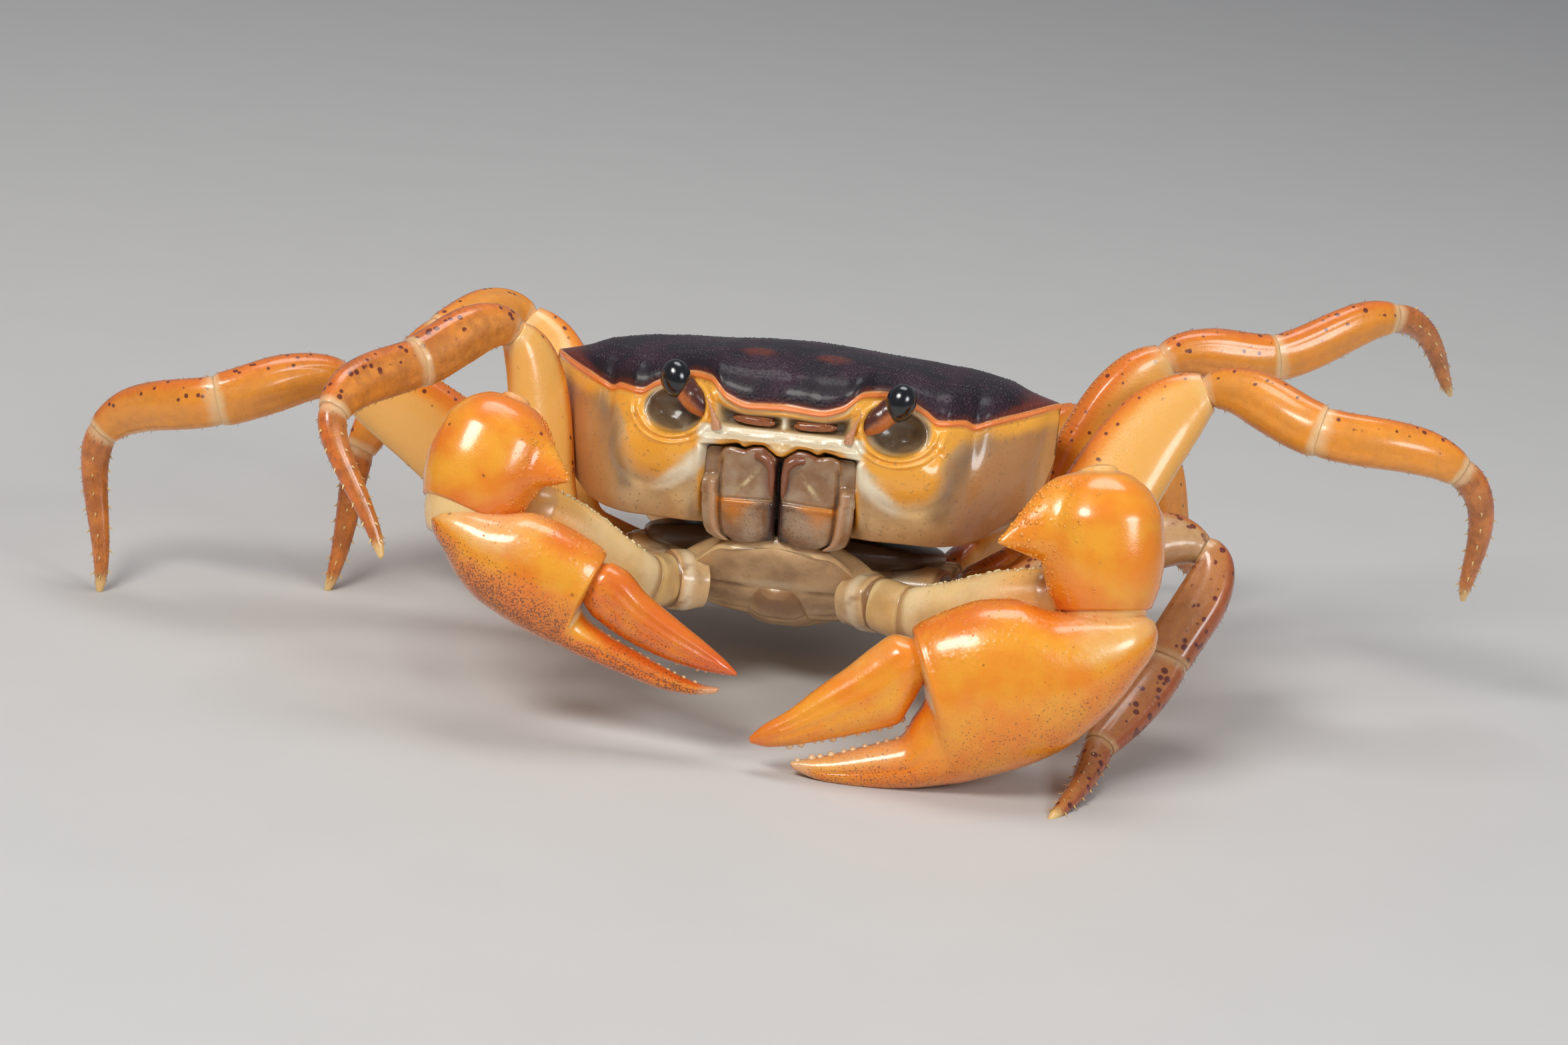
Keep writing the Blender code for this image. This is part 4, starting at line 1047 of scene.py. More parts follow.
        y = y + 0.09 * bell(level, -4.55, 0.1) * (1 - side)
        # Dent of the two pores, which the marks also fill with painted shade
        hole = bell(np.hypot((a - 3.2) / 0.42, (z - lip + 0.26) / 0.16), 0, 0.9)
        y = y + 0.5 * hole * (a < 5)
        for at, high, wide, tall in self.knobs:
            y = y - 0.24 * bell(np.hypot((a - at) / wide, (level - high) / tall), 0, 1)
        return y - 0.16 * bell(z - z_front, -0.13, 0.13) + 0.1 * bell(z - z_front, -0.42, 0.12)

    def back_relief(self, a: Array, y: Array) -> Array:
        """Low swellings of the back less its grooves."""
        lobes = 0.35 * bell(a, 2.7, 1.7) * bell(y, -10.6, 1.3)
        gills = 0.3 * bell(a, 11, 4) * bell(y, -1, 6)
        groove_y = 1.5 - 0.06 * (a - 4) ** 2
        neck = 0.32 * np.exp(-(((y - groove_y) / 1.1) ** 2)) * band(a, 1.5, 4, 9, 12)
        midline = 0.26 * bell(a, 0, 0.26) * bell(y, -11.2, 2)
        brow = 0.05 * bell(y - self.front_y(a), 0.55, 0.35)
        return lobes + gills - neck - midline - brow

    def grid(self) -> tuple[Array, Marks]:
        """Fore-and-aft sections: up the face, over the back, down the rear wall, forward underneath.

        Returns:
            Body points by station and row, and their marks.
        """
        angles = np.linspace(-np.pi / 2, np.pi / 2, self.stations + 2)[1:-1]
        x = (self.half_width * np.sin(angles))[:, None]
        a = abs(x)
        y_front, y_rear = self.front_y(a), self.rear_y(a)
        z_front, z_rear, z_top, z_low = self.front_z(a), self.rear_z(a), self.dome_z(a), self.lower_z(a)
        y_low = np.minimum(self.lower_y(a), y_rear - 0.2)

        level = join([
            np.linspace(-11.2, -6.9, 34)[:-1], np.linspace(-6.9, -2.15, self.face_rows - 33)
        ])[None, :]
        pivot = self.level_pivot + 2.1 * ramp(a, 13, self.half_width)
        above = (level - self.level_pivot) / (level[0, -1] - self.level_pivot)
        below = (level - self.level_pivot) / (level[0, 0] - self.level_pivot)
        z = pivot + np.where(level > self.level_pivot, (z_front - pivot) * above, (z_low - pivot) * below)
        wide = a + 0 * z
        y = np.minimum(self.face_y(wide, z, level + 0 * z), y_rear - 0.1)
        y[:, -1:] = y_front
        parts = [(x + 0 * z, y, z)]
        zones = [self.face_marks(wide, z, level + 0 * z)]

        v = np.arange(1, self.back_rows)[None, :] / self.back_rows
        y = y_front + (y_rear - y_front) * (1 - np.cos(np.pi * v)) / 2
        rise = z_front + (z_top - z_front) * np.sin(np.pi / 2 * np.minimum(v / self.back_top, 1)) ** 0.8
        past = held((v - self.back_top) / (1 - self.back_top))
        sink = z_rear + (z_top - z_rear) * np.cos(np.pi / 2 * past) ** 0.9
        relief = self.back_relief(wide[:, :1] + 0 * y, y) * np.sin(np.pi * v)
        relief = relief * ramp(self.half_width - a, 0, 3)
        z = np.where(v < self.back_top, rise, sink) + relief
        parts.append((x + 0 * z, y, z))
        near = np.hypot(y - y_front, z - z_front)
        patch = 1.1 * bell(a, 2.8, 1.5) * bell(y, -10.6, 0.9) + 0.9 * ramp(a, 14, 18.5)
        patch = patch + 0.6 * bell(near, 0.3, 0.5)
        fore = 1 - ramp(a, 17, 19) * 0.4
        zones.append({
            "back": ramp(near, 0.12, 0.3) * fore, "rim": fall(near, 0.1, 0.26), "patch": held(patch),
            "olive": ramp(y, -4, 6), "tan": 0 * z,
        })

        inset = 1.6 * (1 - (a / self.half_width) ** 2)
        v = np.linspace(0, 1, 13)[None, :]
        y = y_rear + 0.5 * np.sin(np.pi * v) * (1 - a / self.half_width) - inset * v
        z = z_rear + (z_low - z_rear) * v
        parts.append((x + 0 * z, y, z))
        zones.append({"back": fall(v, 0.1, 0.5) + 0 * z, "olive": 1 + 0 * z, "tan": 0.6 + 0 * z})
        v = np.arange(1, 10)[None, :] / 10
        y = y_rear - inset + (y_low - y_rear + inset) * v
        parts.append((x + 0 * y, y, z_low + 0 * y))
        zones.append({"tan": 0.3 + 0 * y, "grey": 0.2 + 0 * y})

        points = join([np.stack(part, axis=-1) for part in parts], axis=1)
        names = sorted({name for zone in zones for name in zone})
        marks = {
            name: join([
                np.broadcast_to(zone.get(name, 0), part[0].shape) for zone, part in zip(zones, parts)
            ], axis=1)
            for name in names
        }
        return points, marks

    def granules(self, points: Array, finishes: Finishes) -> None:
        """Makes the back's granules, seeded: short rows and single ones behind the front, and the margin's.

        A granule's row on the grid follows from its share s of the way back: its angle's cosine is 1 - 2 s.

        Args:
            points: World points of the shell.
            finishes: All finishes.
        """
        draw = np.random.default_rng(8)
        step = np.arange(7) * 0.24
        x = (draw.uniform(-17.2, 15.6, 200)[:, None] + step).ravel()
        depth = (draw.exponential(2.4, 200)[:, None] + 0.5 + 0.1 * np.sin(3 * step)).ravel()
        x = join([x, draw.uniform(-16.8, 16.8, 700)])
        depth = join([depth, draw.uniform(0.6, 13, 700)]) + draw.normal(0, 0.05, len(x))
        front, rear = self.front_y(abs(x)), self.rear_y(abs(x))
        share = np.clip(depth / (rear - front), 0.004, 0.9)
        turn = np.arccos(1 - 2 * share) / np.pi
        columns = self.face_rows + np.round(turn * self.back_rows).astype(int) - 1
        margin = np.linspace(13.7, 18.5, 40)
        x = join([x, margin, -margin])
        columns = join([columns, np.full(80, self.face_rows - 1)])
        rows = np.round((np.arcsin(x / self.half_width) / np.pi + 0.5) * (self.stations + 1)).astype(int) - 1
        seats, frames = seats_on(points, rows, np.maximum(columns, self.face_rows - 1))
        radius = draw.uniform(0.04, 0.09, len(x))
        radius[-80:] += 0.03
        on_rim = (np.arange(len(x)) >= len(x) - 80).astype(float)
        sheets = Sheets()
        marks = {"back": 1, "rim": on_rim, "bead": 1}
        sheets.copies(GRANULE, seats, frames, upright(radius, radius * 0.75), marks)
        sheets.piece("shell_granules", finishes.shell, Slot.SHELL)

    def build(self, finishes: Finishes) -> None:
        """Makes the shell as one closed sheet, and its granules."""
        points, marks = self.grid()
        sheets = Sheets()
        sheets.tube(from_body(points), marks)
        sheets.piece("shell", finishes.shell, Slot.SHELL, "carapace")
        self.granules(from_body(points), finishes)


@dataclass
class Paired:
    """Sub-assembly of one side of the crab, with every finish at hand."""

    side: Side
    finishes: Finishes


@dataclass
class Eyes(Paired):
    """Eyeball on its short stalk."""

    at: Triple = (8.25, -13.2, -0.95)
    radii: Triple = (1.13, 1.08, 1.42)
    tilt: float = 11.0
    stalk: Table = (
        (5.6, -12.9, -3.3, 0.5), (5.95, -13, -3, 0.7), (6.4, -13, -2.65, 0.88), (7, -13, -2.1, 0.97),
        (7.6, -12.9, -1.55, 0.95), (8.05, -12.8, -1.15, 0.8),
    )

    def build(self) -> None:
        """Makes the eye as a stretched sphere, and the stalk as a bent tube with a swollen end."""
        letter = self.side.letter
        across, up = around(40)[None, :], np.linspace(0.04, np.pi - 0.04, 30)[:, None]
        ring = np.sin(up)
        sphere = np.stack((ring * np.cos(across), ring * np.sin(across), np.cos(up) + 0 * across), -1)
        lean = unit(np.array([1, 0, 1.05]))
        edge = ramp(-(sphere @ lean), 0.62, 0.85)
        ball = sphere * np.array(self.radii) @ rotation(1, self.tilt).T + np.array(self.at)
        sheets = Sheets()
        sheets.tube(placed(ball, self.side), {"edge": edge}, (0.02, 0.02))
        sheets.piece(f"eyeball_{letter}", self.finishes.eye, Slot.EYE, f"eye_{letter}")

        rows = np.linspace(0, 1, 26)
        places = np.linspace(0, 1, len(self.stalk))
        x, y, z, radius = (smooth(rows, places, column)[:, None] for column in zip(*self.stalk))
        angles = around(28)[None, :]
        waist = 0.05 * bell(rows, 0.86, 0.06) - 0.06 * bell(rows, 0.66, 0.05)
        radius = radius * (1 + waist[:, None])
        off = radius * np.cos(angles)
        rings = np.stack((x - off * 0.72, y + radius * np.sin(angles), z + off * 0.69), -1)
        amber = ramp(-np.cos(angles) + 0 * x, -0.5, 0.8) * 0.8 + 0.2 * rows[:, None]
        pale = bell(rows, 0.97, 0.03)[:, None] + 0 * off
        sheets = Sheets()
        sheets.tube(placed(rings, self.side), {"amber": amber, "pale": pale * 0.6})
        sheets.piece(f"stalk_{letter}", self.finishes.stalk, Slot.STALK, f"eyestalk_{letter}")


def thread(table: Table, rows: int, ringing: float, rings: int) -> Array:
    """Tube through points with their radii, whose radius swells at each of many rings.

    Args:
        table: Points and radii.
        rows: Number of rings of points.
        ringing: Height of the swelling as a share of the radius.
        rings: Number of swellings.

    Returns:
        Body points by row and angle.
    """
    t = np.linspace(0, 1, rows)
    x, y, z, radius = (smooth(t, np.linspace(0, 1, len(table)), column) for column in zip(*table))
    radius = radius * (1 + ringing * np.cos(2 * np.pi * rings * t))
    centre = np.stack((x, y, z), axis=-1)
    along = unit(np.gradient(centre, axis=0))
    side = unit(np.cross(along, np.array([0, 1, 0.2])))
    angles = around(14)
    wide, deep = radius[:, None] * np.cos(angles), radius[:, None] * np.sin(angles)
    return ring_points(centre, side, np.cross(along, side), wide, deep)


@dataclass
class Feelers(Paired):
    """Folded antennule in the pit under the front, and the short antenna beside the stalk."""

    antennule: Table = (
        (0.75, -12.95, -3.4, 0.15), (1.2, -13.05, -3.4, 0.3), (2.4, -13.1, -3.35, 0.34),
        (3.3, -13, -3.3, 0.28), (3.8, -12.9, -3.25, 0.12),
    )
    whip: Table = (
        (3.6, -13.05, -3.2, 0.1), (2.8, -13.3, -3.1, 0.13), (1.8, -13.32, -3.1, 0.12),
        (0.9, -13.2, -3.14, 0.08),
    )
    antenna: Table = (
        (4.85, -13.65, -4.2, 0.36), (4.9, -13.8, -3.85, 0.33), (5.1, -14, -3.4, 0.2),
        (5.3, -14.2, -2.8, 0.1), (5.7, -14.3, -2, 0.05),
    )

    def build(self) -> None:
        """Makes the antennule, with its whip folded over it, and the antenna."""
        letter, stalk = self.side.letter, self.finishes.stalk
        sheets = Sheets()
        sheets.tube(placed(thread(self.antennule, 40, 0.03, 5), self.side), {"amber": 0.55})
        sheets.tube(placed(thread(self.whip, 60, 0.12, 14), self.side), {"amber": 0.7})
        sheets.piece(f"antennule_whip_{letter}", stalk, Slot.STALK, f"antennule_{letter}")
        sheets = Sheets()
        sheets.tube(placed(thread(self.antenna, 90, 0.04, 22), self.side), {"amber": 1, "pale": 0.35})
        sheets.piece(f"antenna_whip_{letter}", stalk, Slot.LEG, f"antenna_{letter}")


@dataclass
class Maxillipeds(Paired):
    """Outer mouthpart: a plate beside the midline, with its suture, window, outer branch and folded palp."""

    # Height, depth of the front, and share of the full width
    levels: Table = (
        (-12.45, -11.2, 0.72), (-12.3, -11.3, 0.75), (-11.8, -11.7, 0.9), (-10.8, -12.15, 0.96),
        (-9.4, -12.6, 0.98), (-9.1, -12.65, 0.98), (-8.8, -12.72, 1), (-7.5, -13.1, 1),
        (-6.5, -13.38, 0.985), (-6, -13.42, 0.965), (-5.72, -13.3, 0.93),
    )
    palp: Table = (
        (1.7, -13.45, -5.85, 0.3), (1.2, -13.7, -5.95, 0.36), (0.68, -13.75, -6.35, 0.36),
        (0.5, -13.6, -7, 0.27), (0.46, -13.4, -7.8, 0.24), (0.42, -13.15, -8.7, 0.1),
    )

    def build(self) -> None:
        """Makes one mouthpart: its bowed front and flat back in rings round each level, and its folded palp.

        The front's upper edge follows the lip of the mouth frame.
        """
        z = np.linspace(-12.3, -5.72, 84)[:, None]
        y, share = curves(self.levels, z)
        x = np.linspace(0.12, 5.7, 77)[None, :]
        wide = 0.12 + (x - 0.12) * share
        lip = Carapace.lip(x) + 5.6 - 0.3 * bell(x, 3.2, 0.5)
        height = z + lip * ramp(z, -8, -5.72) + 0.35 * fall(x, 0.1, 2.8) * fall(z, -12.3, -11)
        crown = -0.26 * np.sin(np.pi * held(x / 4.3)) ** 0.5
        suture = 0.16 * bell(z + 0.12 * (x - 2.2) / 2.2, -9.1, 0.1) - 0.12 * bell(z, -9.4, 0.22)
        suture = suture * fall(x, 4.2, 4.4)
        trench = 0.5 * bell(x, 4.34, 0.14) * fall(z, -6.9, -6.4)
        branch = -0.3 * bell(x, 4.82, 0.36) * fall(z, -8.2, -7)
        tail = 0.5 * ramp(x, 4.35, 4.6) * ramp(z, -8.2, -7.4)
        window = 0.3 * bell(np.hypot((x - 2.6) / 1.5, (z + 7.5) / 1), 0, 1)
        crease = 0.12 * bell(x, 1.1, 0.25) * fall(z, -9.6, -9.2)
        edge = 0.3 * bell(x, 0.12, 0.14) + 0.2 * bell(x, 5.7, 0.08)
        front_y = y + crown + suture + trench + branch + tail + window + crease + edge
        back_x = np.linspace(5.7, 0.12, 8)[None, :]
        back = 0.12 + (back_x - 0.12) * share
        rows = join([
            np.stack((wide, front_y, height), -1), np.stack((back, y + 1.25 + 0 * back, z + 0 * back), -1)
        ], axis=1)
        ischium = fall(z, -9.25, -9.05)
        streak = bell(x - 2.3 + 0.9 * (z + 7.8), 0, 0.2) * bell(z, -7.8, 0.7)
        # Painted highlight: whitish streak colour at the plate's top inner corner
        corner_highlight = bell(x, 0.8, 0.5) * ramp(z, -7.4, -6.8)
        marks = {
            "amber": 0.7 * bell(z, -9.3, 0.3) * ischium * bell(x, 3, 1.7)
            + 0.75 * bell(x, 3.2, 1.3) * ischium * ramp(z, -12.6, -9.6) + 0.4 * bell(x, 4.5, 0.25)
            + 0.45 * bell(z, -8.9, 0.2) * bell(x, 2.8, 1.4),
            "streak": streak + 0.2 * corner_highlight, "pink": 0.85 * bell(x, 4.85, 0.36) * fall(z, -8.4, -7.2),
            "red": 0.8 * bell(x, 0.3, 0.9) * ramp(z, -9, -8) + 0.7 * ramp(z, -6.3, -5.8) * fall(x, 3, 4),
            # Dark: own dark brown on the inner ischium; painted shade along the midline gap, the suture, the
            # lower edge and the trench
            "dark": 0.95 * bell(x, 0.12, 0.3) + 0.6 * fall(x, 0.4, 2) * ischium
            + 0.3 * bell(z, -9.1, 0.05) * (x < 4.3) + 0.4 * bell(z, -12.3, 0.3) + 0.5 * bell(x, 4.34, 0.1),
            "specks": 0.75 * ischium * bell(x, 1.6, 1.4) + 0.15,
        }
        marks = {
            name: join([held(mark) + 0 * wide, np.zeros(back.shape)], axis=1)
            for name, mark in marks.items()
        }
        sheets = Sheets()
        sheets.tube(placed(rows, self.side), marks)
        sheets.tube(placed(thread(self.palp, 60, 0.05, 3), self.side), {"red": 0.75, "amber": 0.3})
        letter = self.side.letter
        sheets.piece(f"mouthpart_{letter}", self.finishes.mouthpart, Slot.MOUTHPART, f"maxilliped_{letter}")


@dataclass
class Limb:
    """Joints of one limb from its coxa out, and the direction in which it passes each."""

    index: int
    side: Side
    lengths: tuple[float, ...]
    pose: tuple[tuple[float, float | None], ...]
    joint_bias: float = 0.58
    coxa_ends: Table = (
        (8, -9.8, -15.8), (12.2, -5.6, -14.9), (12.7, 0.2, -15), (12.4, 5.4, -14.8), (10.2, 9.6, -14.2),
    )
    coxa_root_x: float = 5.5
    coxa_slant: tuple[float, ...] = (1.4, 1, 0, -0.6, -1.2)

    def coxa(self) -> tuple[Array, Array]:
        """World points of the root and the end of the coxa."""
        end = np.array(self.coxa_ends[self.index])
        root = np.array([self.coxa_root_x, end[1] + self.coxa_slant[self.index], end[2]])
        return placed(root, self.side), placed(end, self.side)

    def path(self) -> tuple[Array, Array]:
        """Joints and the blended directions there. A missing elevation drops the last segment to the floor.

        Returns:
            World points of the joints, and unit directions.
        """
        root, end = self.coxa()
        points, directions = [end], [unit(end - root)]
        for length, (azimuth, elevation) in zip(self.lengths, self.pose):
            if elevation is None:
                elevation = -float(np.degrees(np.arcsin(min(1, (points[-1][2] + FLOOR_CUT) / length))))
            directions.append(direction(azimuth, elevation))
            points.append(points[-1] + directions[-1] * length)
        tangents = [
            unit(near * self.joint_bias + far * (1 - self.joint_bias))
            for near, far in zip(directions, directions[1:])
        ]
        return np.array(points), np.array(tangents + [directions[-1]])


NECK_STEPS, NECK_SIZES = (-1, -0.6, -0.25), (0.6, 0.82, 0.95)
CUP_STEPS, CUP_SIZES = (0.12, 0.1, -0.35), (0.96, 0.84, 0.7)
PLUG_STEPS, PLUG_SIZES = (0.12, 0.35, 0.65, 0.9, 1), (0.97, 0.9, 0.78, 0.6, 0.35)


@dataclass
class Segment:
    """One limb segment: its span, the plane of its breadth, and its half sizes along the way."""

    start: Array
    end: Array
    out: Array
    into: Array
    flat: Array
    table: Table
    scale: float = 1.0
    broad: float = 1.0
    bow: float = 0.0
    sides: int = 48
    rows: int = 90
    power: float = 2.3
    neck: float = 0.8
    socket: bool = True
    plug: float = 0.0
    ridges: Table = ()

    def centre(self, t: Array) -> tuple[Array, Array]:
        """Points and directions of the path, kept a seam inside both joints."""
        start = self.start + self.out * SEAM
        end = self.end - self.into * SEAM
        return hermite(start, end, self.out, self.into, t)

    def surface(self) -> tuple[Array, Array, Array, Array]:
        """Rings of a rounded section along the path, with a neck before it and a cup or a plug at its end.

        A ridge is a bell of the angle away from its line, and it fades out towards both ends.

        Returns:
            Points by row and angle, the share of the length, and the two unit section coordinates.
        """
        t = even_rows(self.rows)
        angles = around(self.sides)
        breadth, thickness = curves(self.table, t)
        breadth, thickness = breadth * self.scale * self.broad, thickness * self.scale
        points, along = self.centre(t)
        extras = [
            (0, np.array(NECK_STEPS) * self.neck, NECK_SIZES, bool(self.neck)),
            (-1, np.array(CUP_STEPS), CUP_SIZES, self.socket),
            (-1, np.array(PLUG_STEPS) * self.plug, PLUG_SIZES, bool(self.plug)),
        ]
        for end, steps, sizes in (extra[:3] for extra in extras if extra[3]):
            added = (
                points[end] + along[end] * steps[:, None], np.repeat(along[end][None], len(steps), axis=0),
                breadth[end] * np.array(sizes), thickness[end] * np.array(sizes),
                np.full(len(steps), t[end]),
            )
            pairs = zip((points, along, breadth, thickness, t), added)
            points, along, breadth, thickness, t = (
                join(pair if end else pair[::-1]) for pair in pairs
            )
        across = unit(np.cross(self.flat, along))
        through = np.cross(along, across)
        points = points + across * (self.bow * np.sin(np.pi * t))[:, None]
        u, v = section(angles, self.power)
        swell = np.ones((len(t), self.sides))
        fade = np.sin(np.pi * np.clip(t, 0.02, 0.98))[:, None] ** 0.3
        for angle, height, width in self.ridges:
            away = (angles - np.radians(angle) + np.pi) % (2 * np.pi) - np.pi
            swell = swell + height * bell(away, 0, width) * fade
        wide, deep = u * breadth[:, None] * swell, v * thickness[:, None] * swell
        rings = ring_points(points, across, through, wide, deep)
        return rings, t[:, None] + 0 * swell, u + 0 * swell, v + 0 * swell


# Share of a segment's length, half breadth and half thickness
MERUS_PROFILE = (
    (0, 1.2, 1), (0.03, 1.65, 1.3), (0.12, 1.8, 1.4), (0.19, 1.7, 1.3), (0.27, 2.3, 1.5),
    (0.4, 3.1, 1.65), (0.58, 3.55, 1.7), (0.78, 3.25, 1.65), (0.9, 2.7, 1.5), (0.96, 2.15, 1.32),
    (1, 1.6, 1.1),
)
CARPUS_PROFILE = (
    (0, 1.15, 0.95), (0.06, 1.4, 1.15), (0.25, 1.75, 1.35), (0.6, 2.1, 1.55), (0.95, 2.04, 1.48),
    (1, 1.95, 1.4),
)
PROPODUS_PROFILE = (
    (0, 1.84, 1.28), (0.05, 1.9, 1.3), (0.3, 1.92, 1.3), (0.65, 1.8, 1.2), (0.92, 1.45, 1.05),
    (1, 1.28, 0.95),
)
DACTYL_PROFILE = (
    (0, 1.1, 0.85), (0.06, 1.14, 0.9), (0.3, 0.97, 0.8), (0.55, 0.8, 0.68), (0.78, 0.6, 0.52),
    (0.93, 0.42, 0.38), (1, 0.22, 0.22),
)
ISCHIUM_PROFILE = ((0, 1.93, 1.72), (0.15, 2, 1.78), (0.5, 2.03, 1.8), (0.85, 2.02, 1.76), (1, 1.96, 1.68))
ARM_PROFILE = ((0, 1.94, 1.66), (0.08, 2.05, 1.74), (0.35, 2.4, 2), (0.7, 2.8, 2.25), (1, 2.6, 2.15))


@dataclass
class MerusPath(Segment):
    """The two spans of ischium and merus as one path."""

    middle: Array = field(default_factory=lambda: np.zeros(3))
    turn: Array = field(default_factory=lambda: np.zeros(3))
    share: float = 0.25

    def centre(self, t: Array) -> tuple[Array, Array]:
        """Points and directions: the first span up to its share of the length, the second beyond it."""
        near = held(t / self.share)
        far = held((t - self.share) / (1 - self.share))
        first = hermite(
            self.start + self.out * SEAM, self.middle - self.turn * SEAM, self.out, self.turn, near
        )
        second = hermite(
            self.middle + self.turn * SEAM, self.end - self.into * SEAM, self.turn, self.into, far
        )
        pick = (t <= self.share)[:, None]
        return np.where(pick, first[0], second[0]), np.where(pick, first[1], second[1])


@dataclass
class WalkingLeg:
    """One walking leg: merus with its ischium, carpus, propodus and dactyl."""

    index: int
    side: Side
    pose: tuple[tuple[float, float | None], ...]
    tone: Tone = Tone.BRIGHT
    # Ischium, merus, carpus, propodus and dactyl of each leg of one side
    lengths: Table = (
        (5, 15.2, 9, 9.2, 10.9), (5.4, 19.8, 9.8, 10.8, 12.4), (5, 18.8, 9, 10.8, 11.4),
        (3.5, 14.5, 7.5, 9.5, 9),
    )
    merus_broad: tuple[float, ...] = (0.72, 1, 0.94, 0.75)
    scales: tuple[float, ...] = (0.95, 1, 0.96, 0.82)
    dactyl_bow: float = 0.5
    spine_length: float = 0.42
    spine_radius: float = 0.1

    @property
    def name(self) -> str:
        """Start of the node names."""
        return f"leg{self.index + 1}_{self.side.letter}"

    def dress(self, sheets: Sheets, segment: Segment, pale: float, spots: float, joint: float) -> Array:
        """Adds a segment's surface with its marks.

        Args:
            sheets: Where it goes.
            segment: The segment.
            pale: How pale its front face is.
            spots: How spotted its upper part is.
            joint: How whitish its ends are.

        Returns:
            The surface's points.
        """
        points, t, u, v = segment.surface()
        upper = u * self.side.value
        marks = {
            "upper": ramp(upper, 0.35, 1),
            "pale": pale * ramp(v, -0.6, 0.6) * fall(upper, 0.2, 0.9),
            "spots": spots * (0.2 + 0.8 * ramp(upper, -0.1, 0.8)) * ramp(v, -0.9, 0),
            "joint": joint * (bell(t, 1, 0.05) + bell(t, 0, 0.09)),
            "along": t * np.linalg.norm(segment.end - segment.start),
        }
        sheets.tube(points, marks)
        return points

    def bristles(
        self, sheets: Sheets, points: Array, seed: int, count: int, size: float, edge: bool
    ) -> None:
        """Scatters fine hairs, seeded: along both edges, or all over.

        Args:
            sheets: Where they go.
            points: The surface.
            seed: Seed of the draw.
            count: How many.
            size: Length in millimetres.
            edge: Whether they keep to the two edges.
        """
        draw = np.random.default_rng(seed)
        rows = draw.integers(8, len(points) - 8, count)
        sides = points.shape[1]
        if edge:
            columns = (draw.integers(0, 2, count) * sides // 2 + draw.integers(-3, 4, count)) % sides
        else:
            columns = draw.integers(0, sides, count)
        seats, frames = seats_on(points, rows, columns)
        sizes = upright(np.full(count, 0.022), size * draw.uniform(0.5, 1, count))
        sheets.copies(BRISTLE, seats, leaned(frames, draw.uniform(0.5, 1.3, count)), sizes, {"hair": 0.85})

    def build(self, finishes: Finishes) -> None:
        """Makes the four pieces of the leg."""
        lengths = self.lengths[self.index]
        points, tangents = Limb(self.index + 1, self.side, lengths, self.pose).path()
        flat = unit(np.cross(points[2] - points[0], points[4] - points[0]))
        flat = -flat if flat[1] > 0 else flat
        seed = 10 * self.index + (1 if self.side is Side.LEFT else 2)
        scale = self.scales[self.index]

        merus = MerusPath(
            points[0], points[2], tangents[0], tangents[2], flat, MERUS_PROFILE,
            broad=self.merus_broad[self.index],
            middle=points[1], turn=tangents[1], share=lengths[0] / (lengths[0] + lengths[1]), rows=120,
            ridges=((35 if self.side is Side.LEFT else 145, 0.05, 0.12),),
        )
        sheets = Sheets()
        surface = self.dress(sheets, merus, 1, 0.55, 0.6)
        upper = 0 if self.side is Side.LEFT else surface.shape[1] // 2
        rows = np.arange(45, len(surface) - 8, 2)
        seats, frames = seats_on(surface, rows, np.full(len(rows), upper))
        sizes = np.repeat([[0.13, 0.13, 0.12]], len(rows), axis=0)
        sheets.copies(GRANULE, seats, frames, sizes, {"upper": 0.8})
        self.bristles(sheets, surface, seed, 16, 0.4, True)
        material = finishes.dusky if self.tone is Tone.DUSKY else finishes.merus
        sheets.piece(self.name + "_thigh", material, Slot.LEG, self.name + "_merus")

        face = 90
        groove = ((face, 0.05, 0.12), (face + 26, -0.06, 0.14), (face - 26, -0.06, 0.14))
        for suffix, k, table, new, browned in (
            ("_carpus", 2, CARPUS_PROFILE, "_knee", 0.35), ("_propodus", 3, PROPODUS_PROFILE, "_shank", 0.3),
        ):
            segment = Segment(
                points[k], points[k + 1], tangents[k], tangents[k + 1], flat, table, scale, ridges=groove
            )
            sheets = Sheets()
            surface = self.dress(sheets, segment, browned, 0.85, 0.9)
            self.bristles(sheets, surface, seed + 100 * k, 26, 0.35, True)
            tones = {Tone.TAWNY: finishes.tawny, Tone.DUSKY: finishes.dusky}
            material = tones.get(self.tone, finishes.shank)
            sheets.piece(self.name + new, material, Slot.LEG, self.name + suffix)

        dactyl = Segment(
            points[4], points[5], tangents[4], tangents[5], flat, DACTYL_PROFILE, scale, bow=self.dactyl_bow,
            socket=False, ridges=((90, 0.1, 0.2), (270, 0.1, 0.2), (0, 0.07, 0.2), (180, 0.07, 0.2)),
        )
        sheets = Sheets()
        surface, t, u, _ = dactyl.surface()
        marks = {
            "upper": ramp(u * self.side.value, 0.3, 1), "pale": 0.1, "spots": 0.3,
            "joint": 0.8 * bell(t, 0.02, 0.06), "horn": ramp(t, 0.86, 0.96),
        }
        sheets.tube(surface, marks, (0, 0.22))
        self.thorns(sheets, surface, t[:, 0])
        self.bristles(sheets, surface, seed + 700, 120, 0.35, False)
        material = finishes.dusky if self.tone is Tone.DUSKY else finishes.toe
        sheets.piece(self.name + "_toe", material, Slot.LEG_END, self.name + "_dactyl")

